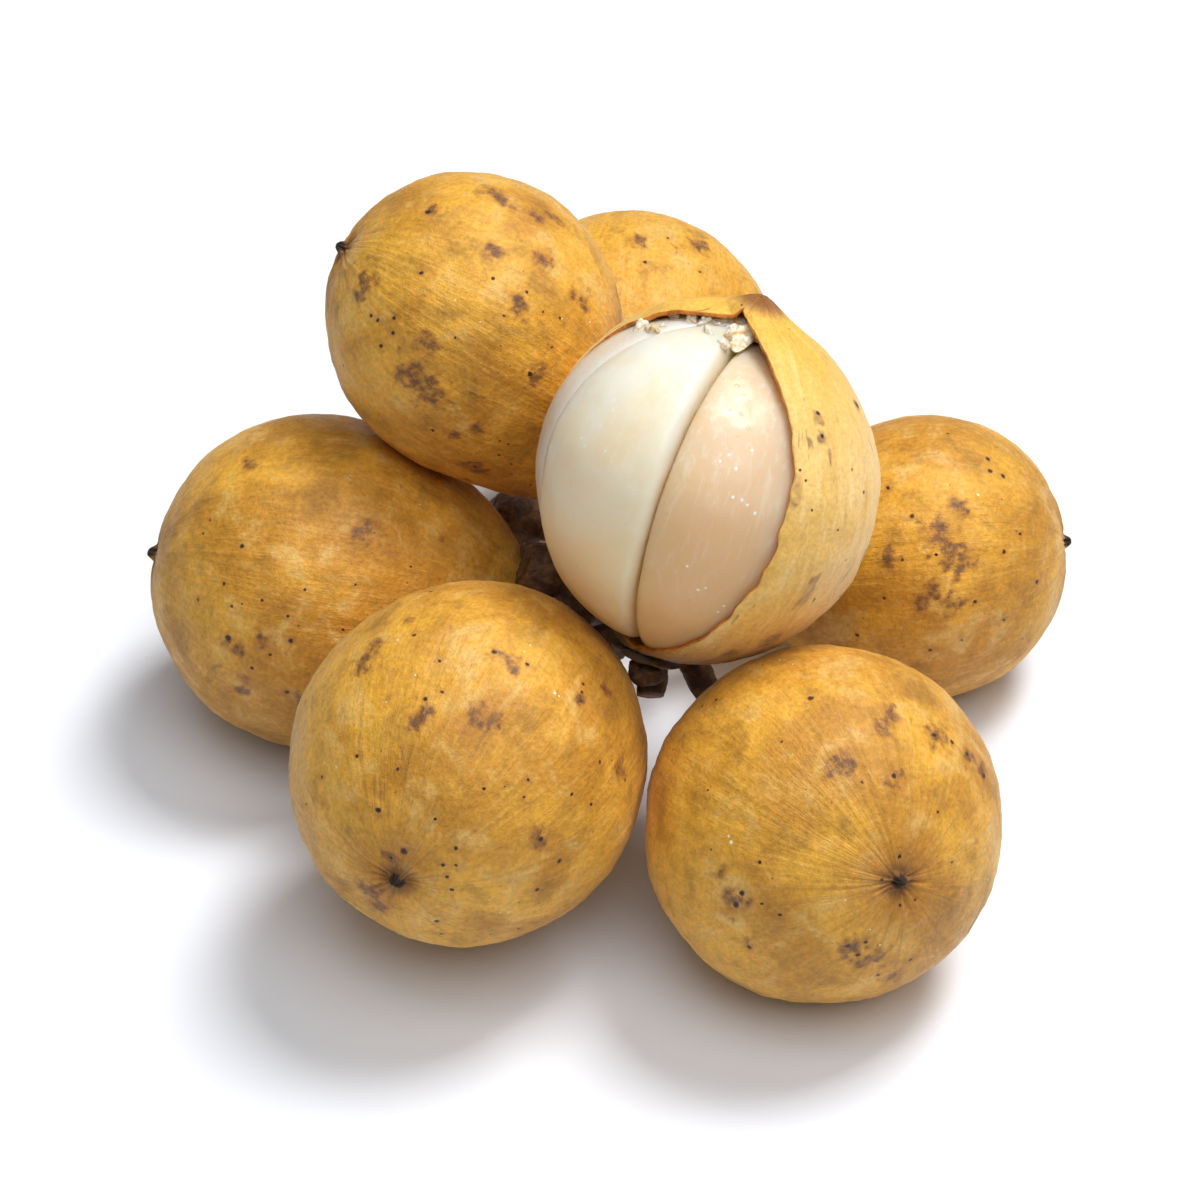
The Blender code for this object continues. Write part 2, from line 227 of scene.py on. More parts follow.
def waves(points, wavelength, seed, count=16):
    """Smooth seeded noise of about -1 to 1, a sum of waves of one length in many directions."""
    random = np.random.default_rng(seed)
    directions = random.normal(size=(count, 3))
    directions /= np.linalg.norm(directions, axis=1, keepdims=True)
    phases = random.uniform(0, 2 * math.pi, count)
    stretch = random.uniform(0.8, 1.25, count)
    angle = points @ (directions * stretch[:, None]).T * (2 * math.pi / wavelength) + phases
    return np.sin(angle).sum(axis=-1) / math.sqrt(count)


def ridges(around, down, seed, lowest, highest, count=14):
    """Noise that runs in stripes from pole to pole, about -1 to 1."""
    random = np.random.default_rng(seed)
    total = np.zeros_like(around)
    for _ in range(count):
        turns = random.integers(lowest, highest)
        phase = random.uniform(0, 2 * math.pi)
        wobble = random.uniform(0.3, 1.6) * np.sin(random.uniform(1.0, 4.0) * down + phase)
        turn = random.integers(1, 4) * around
        strength = 0.5 + 0.5 * np.sin(turn + random.uniform(1, 5) * down + phase)
        total += strength * np.sin(turns * around + phase + wobble)
    return total / math.sqrt(count / 2)


def stack(x, y, z):
    return np.stack([x, y, z], axis=-1)


def closed_mesh(name, columns, rows, shape):
    """A closed round mesh: shape(around, down) gives the points, and the poles are single points."""
    around, down = np.meshgrid(np.arange(columns) * 2 * math.pi / columns,
                               np.arange(1, rows) * math.pi / rows)
    body = shape(around, down).reshape(-1, 3)
    poles = shape(np.zeros((1, 2)), np.array([[1e-6, math.pi - 1e-6]])).reshape(-1, 3)
    points = np.concatenate([body, poles])
    top = len(body)
    faces = []
    for row in range(rows - 2):
        start = row * columns
        for column in range(columns):
            following = (column + 1) % columns
            faces.append((start + column, start + columns + column,
                          start + columns + following, start + following))
    last = (rows - 2) * columns
    for column in range(columns):
        following = (column + 1) % columns
        faces.append((top, column, following))
        faces.append((top + 1, last + following, last + column))
    mesh = bpy.data.meshes.new(name)
    mesh.from_pydata(points.tolist(), [], faces)
    mesh.shade_smooth()
    return mesh


def add_object(name, data, matrix=None):
    """A new object in the scene that holds the data."""
    holder = bpy.data.objects.new(name, data)
    if matrix is not None:
        holder.matrix_world = matrix
    bpy.context.scene.collection.objects.link(holder)
    return holder


def add_piece(name, mesh, matrix, materials, node):
    """Put a finished mesh in the scene in place of its CAD node, with its own places kept in it."""
    save_vectors(mesh, "local", mesh_points(mesh) / MM)
    mesh.transform(matrix)
    for material in materials:
        mesh.materials.append(material)
    piece = add_object(name, mesh)
    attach(piece, "root")
    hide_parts(node)
    return piece


def save_values(mesh, name, values):
    """Keep one number for each point of the mesh, for its material to read."""
    layer = mesh.attributes.new(name, "FLOAT", "POINT")
    layer.data.foreach_set("value", np.asarray(values, dtype=np.float32))


def save_vectors(mesh, name, values):
    """Keep three numbers for each point of the mesh, for its material to read."""
    layer = mesh.attributes.new(name, "FLOAT_VECTOR", "POINT")
    layer.data.foreach_set("vector", np.asarray(values, dtype=np.float32).ravel())


def read_numbers(items, key, columns):
    """An array of the numbers that a mesh keeps for each of its points."""
    numbers = np.empty(len(items) * columns, dtype=np.float32)
    items.foreach_get(key, numbers)
    return numbers.reshape(-1, columns).astype(float)


def mesh_points(mesh):
    return read_numbers(mesh.vertices, "co", 3)


def set_points(mesh, points):
    mesh.vertices.foreach_set("co", points.astype(np.float32).ravel())
    mesh.update()


def keep_inside(mesh, matrix):
    """Hold every point inside the box of the CAD model."""
    turn = np.array(matrix.to_3x3())
    shift = np.array(matrix.translation)
    world = mesh_points(mesh) @ turn.T + shift
    world = np.clip(world, np.array(CAD_BOX[0]), np.array(CAD_BOX[1]))
    set_points(mesh, (world - shift) @ turn)


# Material building blocks

class Tree:
    """A material's node tree with short calls for the nodes that are used here."""

    def __init__(self, name):
        self.material = bpy.data.materials.new(name)
        self.material.use_nodes = True
        self.nodes = self.material.node_tree.nodes
        self.links = self.material.node_tree.links
        self.shader = self.nodes["Principled BSDF"]

    def put(self, socket, value):
        if isinstance(value, bpy.types.NodeSocket):
            self.links.new(value, socket)
        else:
            socket.default_value = value

    def node(self, kind, inputs, **settings):
        made = self.nodes.new("ShaderNode" + kind)
        for key, value in settings.items():
            setattr(made, key, value)
        for key, value in inputs.items():
            self.put(made.inputs[key], value)
        return made

    def shader_inputs(self, **inputs):
        for key, value in inputs.items():
            self.put(self.shader.inputs[key.replace("_", " ")], value)

    def world_place(self):
        """The place in the bunch, in millimetres."""
        place = self.node("TexCoord", {}).outputs["Object"]
        return self.node("VectorMath", {0: place, "Scale": 1000.0}, operation="SCALE").outputs[0]

    def vector(self, name):
        return self.node("Attribute", {}, attribute_name=name).outputs["Vector"]

    def value(self, name):
        return self.node("Attribute", {}, attribute_name=name).outputs["Fac"]

    def noise(self, place, size, detail=3.0, roughness=0.55, distortion=0.0):
        """Noise whose features are about `size` millimetres, from 0 to 1 with its middle at 0.5."""
        return self.node("TexNoise", {"Vector": place, "Scale": 1.0 / size, "Detail": detail,
                                      "Roughness": roughness, "Distortion": distortion}).outputs["Fac"]

    def moved(self, place, offset):
        return self.node("VectorMath", {0: place, 1: offset}, operation="ADD").outputs[0]

    def shift(self, place, size, amount, seed=0.0):
        """The place moved about by noise, so that round marks get uneven edges."""
        start = self.moved(place, (seed, seed, seed))
        noise = self.node("TexNoise", {"Vector": start, "Scale": 1.0 / size, "Detail": 2.0})
        centred = self.moved(noise.outputs["Color"], (-0.5, -0.5, -0.5))
        scaled = self.node("VectorMath", {0: centred, "Scale": amount * 2}, operation="SCALE")
        return self.moved(place, scaled.outputs[0])

    def stretch(self, place, factors):
        return self.node("VectorMath", {0: place, 1: factors}, operation="MULTIPLY").outputs[0]

    def step(self, value, low, high, to_low=0.0, to_high=1.0):
        """Smooth step of a value between two limits."""
        return self.node("MapRange", {"Value": value, "From Min": low, "From Max": high,
                                      "To Min": to_low, "To Max": to_high},
                         interpolation_type="SMOOTHSTEP").outputs["Result"]

    def maths(self, operation, first, second, third=0.0):
        return self.node("Math", {0: first, 1: second, 2: third}, operation=operation).outputs[0]

    def plus(self, first, second, share=1.0):
        """The first value with a share of the second."""
        return self.maths("MULTIPLY_ADD", second, share, first)

    def mix(self, factor, first, second, blend="MIX"):
        return self.node("Mix", {"Factor": factor, 6: rgba(first), 7: rgba(second)},
                         data_type="RGBA", blend_type=blend).outputs[2]

    def paint(self, colour, tint, value, low, high, share=1.0):
        """A colour with a tint over it, the more the further the value has gone from low to high."""
        return self.mix(self.step(value, low, high, 0.0, share), colour, tint)

    def shade(self, colour, share):
        """The colour made darker or lighter by a share."""
        grey = self.node("CombineColor", {0: share, 1: share, 2: share}).outputs[0]
        return self.mix(1.0, colour, grey, "MULTIPLY")

    def bump(self, height, distance, strength):
        inputs = {"Height": height, "Distance": distance, "Strength": strength}
        return self.node("Bump", inputs).outputs["Normal"]

    def scatter_light(self, weight, radius, scale):
        """Let light pass under the surface, to a depth given in metres."""
        self.shader_inputs(Subsurface_Weight=weight, Subsurface_Radius=radius, Subsurface_Scale=scale)

    def velvet(self, weight, roughness, tint):
        self.shader_inputs(Sheen_Weight=weight, Sheen_Roughness=roughness, Sheen_Tint=tint)


def rgba(colour):
    """A colour with its fourth number, or a socket as it is."""
    if isinstance(colour, bpy.types.NodeSocket) or len(colour) == 4:
        return colour
    return (*colour, 1.0)


# Skins

SKIN_MID = (0.600, 0.268, 0.022)
SKIN_BRIGHT = (0.830, 0.420, 0.040)
SKIN_PALE = (0.800, 0.510, 0.150)
SKIN_OLIVE = (0.270, 0.130, 0.022)
SKIN_ORANGE = (0.470, 0.180, 0.020)
MARK_BROWN = (0.120, 0.050, 0.028)
MARK_DARK = (0.040, 0.018, 0.012)
POINT_DARK = (0.030, 0.013, 0.009)
GLINT = (0.95, 0.88, 0.70)
SKIN_GLOSS = 0.42


def spots(tree, place, marks):
    """The strongest of several round marks at a place. A mark is its centre, radius and strength."""
    strongest = None
    for centre, radius, strength in marks:
        away = tree.node("VectorMath", {0: place, 1: tuple(centre)}, operation="DISTANCE")
        mark = tree.step(away.outputs["Value"], radius * 0.95, radius * 0.40, 0.0, strength)
        strongest = mark if strongest is None else tree.maths("MAXIMUM", strongest, mark)
    return 0.0 if strongest is None else strongest


def widened(marks, share):
    return [(centre, share * radius, strength) for centre, radius, strength in marks]


def scattered_spots(tree, place, cell, radius, share):
    """Small dots, one in each of a share of the cells of a Voronoi pattern, of uneven size."""
    cells = tree.node("TexVoronoi", {"Vector": place, "Scale": 1.0 / cell, "Randomness": 1.0},
                      feature="F1")
    pick = tree.node("SeparateColor", {"Color": cells.outputs["Color"]})
    size = tree.step(pick.outputs["Red"], 1.0 - share, 1.0, 0.0, radius / cell)
    edge = tree.maths("SUBTRACT", size, cells.outputs["Distance"])
    return tree.step(edge, 0.0, 0.25 * radius / cell)


def skin_material(name, dots, glints, bright, halo, seed):
    """Ochre velvety skin with mottling, fine stripes to the apex, dark dots and brown blotches."""
    tree = Tree(name)
    place = tree.vector("local")
    place_seeded = tree.moved(place, (seed, seed * 1.7, -seed))
    down = tree.value("down")
    stripe_place = tree.vector("stripes")

    broad = tree.noise(place_seeded, 10.0, 2.0, 0.5, 0.4)
    clouds = tree.noise(place_seeded, 4.4, 4.0, 0.64, 0.5)
    fine = tree.noise(place_seeded, 0.50, 3.0, 0.70)
    stripes = tree.noise(stripe_place, 0.8, 3.0, 0.6)
    fine_stripes = tree.noise(stripe_place, 0.30, 2.0, 0.6)

    # Mottled tone, moved lighter or darker for each fruit by bright: partly the fruit's own tone and
    # partly painted light and shade
    colour = tree.mix(tree.step(broad, 0.36 - bright, 0.62 - bright), SKIN_MID, SKIN_BRIGHT)
    colour = tree.paint(colour, SKIN_PALE, clouds, 0.50, 0.30, 0.70)
    colour = tree.paint(colour, SKIN_OLIVE, clouds, 0.48, 0.74, 0.58)
    near_apex = tree.step(down, 0.80, 0.10)
    stripe_share = tree.plus(0.15, near_apex, 0.34)
    stripe_share = tree.maths("MULTIPLY", tree.step(stripes, 0.47, 0.70), stripe_share)
    colour = tree.mix(stripe_share, colour, SKIN_OLIVE)
    colour = tree.paint(colour, SKIN_PALE, fine_stripes, 0.50, 0.72, 0.20)
    halo_share = tree.maths("MULTIPLY", tree.step(down, 0.46, 0.04), halo)
    colour = tree.mix(halo_share, colour, SKIN_ORANGE)
    colour = tree.shade(colour, tree.step(fine, 0.28, 0.72, 0.83, 1.14))

    stain = tree.value("blotch")
    colour = tree.paint(colour, SKIN_ORANGE, stain, 0.0, 0.70, 0.50)
    patchy = tree.noise(place, 0.9, 3.0, 0.80)
    blotch = tree.step(tree.plus(patchy, stain, 0.50), 0.68, 1.14, 0.0, 0.88)
    natural = tree.step(tree.noise(place_seeded, 4.2, 4.0, 0.72, 1.0), 0.62, 0.80, 0.0, 0.65)
    colour = tree.mix(tree.maths("MAXIMUM", blotch, natural), colour, MARK_BROWN)

    uneven = tree.shift(place, 0.5, 0.16, seed)
    dot = spots(tree, uneven, dots)
    small_dots = scattered_spots(tree, uneven, 2.6, 0.24, 0.42)
    tiny_dots = scattered_spots(tree, uneven, 1.3, 0.12, 0.34)
    tiny_dots = tree.maths("MULTIPLY", tiny_dots, 0.65)
    dot = tree.maths("MAXIMUM", dot, tree.maths("MAXIMUM", small_dots, tiny_dots))
    colour = tree.paint(colour, MARK_BROWN, tree.noise(place_seeded, 1.6, 2.0), 0.50, 0.72, 0.12)
    colour = tree.mix(dot, colour, MARK_DARK)

    colour = tree.paint(colour, MARK_BROWN, down, 0.15, 0.05, 0.60)
    colour = tree.paint(colour, POINT_DARK, down, 0.052, 0.032)
    # Bright specks painted into the colour as glints of light
    sparkle = scattered_spots(tree, place_seeded, 1.6, 0.10, 0.16)
    gathered = tree.step(tree.noise(place_seeded, 6.0, 2.0), 0.55, 0.66)
    sparkle = tree.maths("MULTIPLY", sparkle, gathered)
    sparkle = tree.maths("MAXIMUM", sparkle, spots(tree, uneven, glints)) if glints else sparkle
    colour = tree.mix(sparkle, colour, GLINT)

    height = tree.plus(tree.maths("MULTIPLY", fine, 0.5), fine_stripes, 0.45)
    normal = tree.bump(height, 0.26 * MM, 0.95)
    rough = tree.step(clouds, 0.3, 0.7, 0.50, 0.62)
    rough = tree.plus(rough, sparkle, -0.25)
    tree.shader_inputs(Base_Color=colour, Roughness=rough, Normal=normal, Specular_IOR_Level=SKIN_GLOSS)
    tree.velvet(0.14, 0.38, (1.0, 0.82, 0.50, 1.0))
    return tree.material


# Marks that the photo shows, at pixels of the 1200 x 1200 frame, each with its radius in millimetres:
# dark dots and strokes, then soft brown blotches, then bright specks painted as glints of light
DOTS = {
    "fruit_upper_left": [
        (428, 212, 0.45), (421, 273, 0.30), (371, 316, 0.30), (378, 320, 0.30), (394, 318, 0.32),
        (393, 333, 0.30), (381, 346, 0.35), (530, 374, 0.42), (475, 467, 0.35), (511, 464, 0.20),
        (511, 474, 0.20), (504, 316, 0.22), (543, 312, 0.20), (527, 292, 0.24), (560, 318, 0.22),
        (552, 347, 0.20), (559, 398, 0.24), (500, 441, 0.20), (499, 455, 0.20), (455, 338, 0.20),
    ],
    "fruit_back": [(645, 262, 0.35), (700, 272, 0.25), (668, 238, 0.22)],
    "fruit_right": [
        (988, 459, 0.42), (990, 471, 0.42), (1003, 476, 0.40), (1037, 582, 0.42), (857, 635, 0.36),
        (912, 516, 0.40), (1004, 552, 0.30), (1020, 534, 0.28), (975, 602, 0.32), (902, 560, 0.24),
        (884, 598, 0.26), (1004, 620, 0.24), (930, 650, 0.28), (962, 640, 0.24), (888, 488, 0.28),
    ],
    "fruit_left": [
        (242, 546, 0.36), (224, 584, 0.30), (228, 638, 0.55), (291, 641, 0.38), (287, 692, 0.42),
        (288, 616, 0.26), (262, 600, 0.26), (305, 590, 0.22), (252, 668, 0.30), (270, 655, 0.30),
        (232, 606, 0.24), (355, 585, 0.20), (343, 630, 0.22), (210, 520, 0.20), (198, 600, 0.24),
    ],
    "fruit_front_left": [
        (494, 652, 0.42), (439, 661, 0.26), (425, 699, 0.36), (442, 692, 0.26), (404, 851, 0.55),
        (378, 810, 0.42), (357, 756, 0.30), (398, 769, 0.30), (527, 664, 0.34), (322, 777, 0.30),
        (456, 848, 0.34), (443, 865, 0.32), (456, 865, 0.26), (447, 877, 0.28), (541, 839, 0.38),
        (559, 861, 0.36), (537, 890, 0.36), (437, 921, 0.38), (441, 934, 0.30), (414, 635, 0.28),
        (583, 684, 0.28), (582, 692, 0.26), (581, 701, 0.22), (591, 804, 0.26), (528, 780, 0.26),
        (524, 797, 0.20), (601, 656, 0.18), (391, 858, 0.26), (600, 762, 0.30), (625, 780, 0.26),
    ],
    "fruit_front_right": [
        (811, 698, 0.42), (894, 776, 0.34), (749, 947, 0.34), (967, 754, 0.40), (984, 776, 0.36),
        (934, 735, 0.38), (952, 742, 0.34), (702, 706, 0.24), (716, 700, 0.24), (782, 742, 0.22),
        (708, 790, 0.22), (760, 862, 0.26), (780, 915, 0.26), (858, 955, 0.42), (848, 946, 0.36),
        (866, 942, 0.32), (878, 975, 0.30), (910, 960, 0.30), (736, 905, 0.50), (742, 893, 0.42),
        (938, 812, 0.24), (952, 862, 0.22), (915, 900, 0.20), (882, 880, 0.30), (862, 782, 0.22),
    ],
    "open_peel": [
        (792, 441, 0.34), (806, 481, 0.24), (818, 413, 0.34), (822, 436, 0.34), (857, 405, 0.40),
        (852, 470, 0.22), (864, 492, 0.22), (838, 530, 0.24), (812, 510, 0.20), (846, 560, 0.24),
        (800, 470, 0.24), (814, 600, 0.30), (840, 596, 0.24), (868, 440, 0.20),
    ],
}
BLOTCHES = {
    "fruit_upper_left": [
        (491, 191, 1.5), (504, 200, 1.2), (538, 217, 1.2), (552, 217, 1.2), (492, 251, 1.5),
        (519, 308, 1.4), (543, 259, 1.3), (582, 301, 1.4), (428, 344, 1.5), (413, 377, 2.4),
        (430, 392, 2.2), (536, 374, 1.6), (476, 429, 1.0), (454, 435, 0.9), (474, 467, 1.7),
        (366, 284, 1.5), (358, 296, 1.0), (430, 210, 1.0),
    ],
    "fruit_back": [(700, 245, 1.6), (640, 240, 1.2)],
    "fruit_right": [
        (959, 508, 1.2), (938, 534, 2.0), (958, 556, 2.4), (944, 548, 1.8), (933, 591, 1.3),
        (952, 606, 1.4), (922, 602, 1.2), (890, 560, 1.4),
    ],
    "fruit_left": [
        (247, 464, 1.2), (243, 690, 1.0), (244, 680, 0.9), (365, 530, 1.7), (228, 640, 1.0),
        (238, 650, 1.0), (262, 640, 1.2), (443, 539, 0.6), (300, 700, 1.2),
    ],
    "fruit_front_left": [
        (362, 668, 1.2), (370, 655, 1.3), (378, 643, 1.0), (500, 656, 1.4), (515, 666, 1.3),
        (408, 620, 0.6), (582, 700, 0.8), (480, 720, 1.8), (420, 718, 1.6), (540, 840, 1.2),
        (392, 860, 1.2), (620, 770, 1.4), (370, 892, 2.0), (380, 905, 1.6), (606, 690, 0.9),
    ],
    "fruit_front_right": [
        (881, 730, 1.5), (890, 713, 1.2), (938, 737, 1.7), (967, 756, 1.4), (982, 768, 1.3),
        (841, 761, 1.4), (832, 772, 1.2), (894, 778, 1.2), (722, 873, 1.0), (734, 900, 1.7),
        (852, 948, 1.8), (862, 962, 1.5), (892, 976, 1.4), (749, 947, 0.9), (876, 955, 1.5),
    ],
    "open_peel": [
        (818, 418, 0.9), (822, 438, 0.8), (797, 484, 0.9), (796, 500, 0.8), (806, 596, 1.4),
        (812, 585, 1.1), (857, 406, 0.9), (770, 640, 1.5), (730, 655, 1.4),
    ],
}
GLINTS = {
    "fruit_front_left": [
        (530, 645, 0.14), (555, 693, 0.22), (559, 696, 0.16), (398, 640, 0.12), (386, 702, 0.12),
        (324, 763, 0.12), (336, 767, 0.12), (509, 912, 0.14), (500, 913, 0.12), (512, 937, 0.16),
        (524, 651, 0.14), (415, 675, 0.12), (308, 768, 0.12),
    ],
    "fruit_front_right": [
        (731, 842, 0.30), (729, 836, 0.20), (700, 925, 0.12), (845, 900, 0.12), (930, 940, 0.12),
        (870, 930, 0.12), (880, 945, 0.12), (905, 950, 0.10), (780, 660, 0.16), (793, 664, 0.14),
    ],
    "fruit_upper_left": [(455, 300, 0.12), (480, 322, 0.12), (590, 322, 0.12), (562, 318, 0.12)],
    "fruit_left": [(300, 420, 0.12), (420, 505, 0.12)],
    "fruit_right": [(905, 436, 0.12), (978, 495, 0.18)],
}


def place_marks(piece, matrix, pixels, strength):
    """Marks in the fruit's own millimetres, where lines of sight through pixels meet its surface."""
    marks = []
    for x, y, radius in pixels:
        start, direction = pixel_ray(x, y)
        hit, point, _, _ = piece.ray_cast(start, direction)
        if hit:
            marks.append((matrix.inverted() @ point / MM, radius, strength))
    return marks


def hidden_marks(fruit, matrix, seed, count, smallest, largest, strength):
    """Seeded marks on the side of a fruit that the photo doesn't show."""
    random = np.random.default_rng(seed)
    back = camera_axes()[3]
    marks = []
    for _ in range(count):
        outward = Vector(random.normal(size=3)).normalized()
        radius = random.uniform(smallest, largest)
        if outward.dot(back) < 0.1:
            turned = fruit_matrix(fruit).to_3x3().inverted() @ outward
            place = Vector(fruit["centre"]) * MM + outward * float(fruit_reach(fruit, np.array(turned)))
            marks.append((matrix.inverted() @ place / MM, radius, strength))
    return marks


def blotch_values(mesh, blotches, seed):
    """Strength of the soft brown blotches at each point of the mesh, with ragged edges."""
    points = read_numbers(mesh.attributes["local"].data, "vector", 3)
    edge = 0.32 * waves(points, 1.9, seed + 5) + 0.26 * waves(points, 0.9, seed + 6)
    values = np.zeros(len(points))
    for centre, radius, strength in blotches:
        away = np.linalg.norm(points - np.array(centre), axis=1) / radius
        values = np.maximum(values, strength * np.clip(1.30 - away + edge, 0, 1))
    return values


# Whole fruits

# Columns and rows of each mesh, how its rows crowd at the apex, the halo round the dry point, and
# on the hidden side the number of marks, their smallest and largest radius and their strength
FRUIT_MESH = (250, 150)
RING_CROWDING = 1.45
HALO = 0.35
HIDDEN_DOTS = (10, 0.2, 0.45, 1.0)
HIDDEN_BLOTCHES = (9, 0.8, 2.2, 0.9)
STRONGER_HALOS = {"fruit_front_right": 0.85}
# How much lighter or darker each fruit's skin is painted: partly its own tone and partly painted light
# and shade, lighter on the back fruit and darker on the left and right fruits
TONE_AND_PAINTED_LIGHT = {"fruit_back": 0.16, "fruit_left": -0.07, "fruit_right": -0.06}


def skin_relief(around, down, local, seed):
    """Low lumps, stripes to the apex and an apex dimple with its dry point, outward in metres."""
    lumps = 0.11 * MM * waves(local, 11 * MM, seed) + 0.045 * MM * waves(local, 4 * MM, seed + 1)
    pores = 0.022 * MM * waves(local, 1.6 * MM, seed + 2, 24)
    fade = np.clip(np.sin(down) / 0.12, 0, 1)
    stripes = 0.026 * MM * ridges(around, down, seed + 3, 28, 95) * fade
    wrinkles = 0.10 * MM * ridges(around, down, seed + 4, 9, 26) * np.exp(-((down - 0.11) / 0.09) ** 2)
    dimple = -0.42 * MM * np.exp(-(down / 0.14) ** 2)
    edge = 0.038 * (1 + 0.28 * np.sin(3 * around + seed) + 0.18 * np.sin(7 * around))
    point = 1.0 * MM * np.exp(-(down / edge) ** 3)
    return lumps + pores + stripes + wrinkles + dimple + point


def save_skin_values(mesh, around, down):
    """Angle from the dry point, and a place whose noise runs in stripes to that point."""
    save_values(mesh, "down", down)
    save_vectors(mesh, "stripes", stack(9.0 * np.cos(around), 9.0 * np.sin(around), 1.3 * down))


def local_angles(mesh):
    """Angles round and from the +Z axis, for each point of the mesh."""
    points = mesh_points(mesh)
    around = np.arctan2(points[:, 1], points[:, 0])
    return around, np.arctan2(np.hypot(points[:, 0], points[:, 1]), points[:, 2])


def add_fruit(name, fruit, number):
    """A whole fruit in place of its solid, with its marks where the photo shows them."""
    body_frame = fruit_matrix(fruit)
    matrix = fruit_matrix(dict(fruit, apex=fruit["point"]))
    to_body = np.array((body_frame.inverted() @ matrix).to_3x3())
    seed = 20 + 10 * number

    def shape(around, down):
        angle = math.pi * (down / math.pi) ** RING_CROWDING
        outward = stack(np.sin(angle) * np.cos(around), np.sin(angle) * np.sin(around), np.cos(angle))
        local = outward * fruit_reach(fruit, outward @ to_body.T)[..., None]
        return local + outward * skin_relief(around, angle, local, seed)[..., None]

    mesh = closed_mesh(name, *FRUIT_MESH, shape)
    save_skin_values(mesh, *local_angles(mesh))
    keep_inside(mesh, matrix)
    piece = add_piece(name + "_skin", mesh, matrix, [], name)
    bpy.context.view_layer.update()
    dots = place_marks(piece, matrix, DOTS.get(name, []), 1.0)
    dots += hidden_marks(fruit, matrix, seed, *HIDDEN_DOTS)
    blotches = place_marks(piece, matrix, BLOTCHES.get(name, []), 1.0)
    blotches += hidden_marks(fruit, matrix, seed + 1, *HIDDEN_BLOTCHES)
    glints = place_marks(piece, matrix, GLINTS.get(name, []), 1.0)
    blotches += [(centre, 2.6 * radius, 0.45) for centre, radius, strength in dots]
    save_values(mesh, "blotch", blotch_values(mesh, blotches, seed))
    halo = STRONGER_HALOS.get(name, HALO)
    bright = TONE_AND_PAINTED_LIGHT.get(name, 0.0)
    mesh.materials.append(skin_material(name + "_skin", dots, glints, bright, halo, seed * 3.1))


# The opened fruit's peel

PEEL_COLUMNS = 230
PEEL_ROWS = 170
PEEL_SCATTER = (1.0, 0.4, 0.1)
BLOTCH_STRETCH = 0.55


def opening_edges(down):
    """How far the opening reaches to its right and left, at angles measured from the apex."""
    middle = (OPENING_TOP + OPENING_BOTTOM) / 2
    reach = (OPENING_BOTTOM - OPENING_TOP) / 2
    offset = np.minimum(1.0, np.abs(down - middle) / reach)
    width = np.sqrt(1.0 - offset ** 3.2)
    low = np.maximum(0.0, -np.cos(down))
    right = width * (OPENING_RIGHT + low * OPENING_RIGHT_LOW)
    left = width * (OPENING_LEFT + low * OPENING_LEFT_LOW)
    return right, left


def inner_peel_material():
    """Caramel inside of the peel, fibrous from end to end."""
    tree = Tree("peel_inside")
    place = tree.world_place()
    stripes = tree.noise(tree.vector("stripes"), 0.8, 3.0, 0.6)
    patches = tree.noise(place, 3.0, 4.0, 0.6, 0.5)
    colour = tree.mix(tree.step(patches, 0.35, 0.65), (0.60, 0.24, 0.03), (0.80, 0.42, 0.09))
    colour = tree.paint(colour, (0.88, 0.62, 0.26), stripes, 0.45, 0.70, 0.6)
    normal = tree.bump(tree.plus(stripes, patches), 0.2 * MM, 0.6)
    tree.shader_inputs(Base_Color=colour, Roughness=0.42, Normal=normal)
    tree.scatter_light(0.25, PEEL_SCATTER, 1.5 * MM)
    return tree.material


def rim_material():
    """The torn edge of the peel, orange-brown with darker stains."""
    tree = Tree("peel_edge")
    place = tree.world_place()
    stains = tree.noise(place, 1.6, 4.0, 0.65, 0.6)
    colour = tree.mix(tree.step(stains, 0.40, 0.66), (0.72, 0.30, 0.035), (0.42, 0.14, 0.02))
    colour = tree.paint(colour, (0.14, 0.04, 0.012), tree.noise(place, 0.8, 3.0), 0.60, 0.70, 0.7)
    normal = tree.bump(tree.noise(place, 0.3, 3.0), 0.15 * MM, 0.7)
    tree.shader_inputs(Base_Color=colour, Roughness=0.40, Normal=normal)
    tree.scatter_light(0.35, PEEL_SCATTER, 1.5 * MM)
    return tree.material


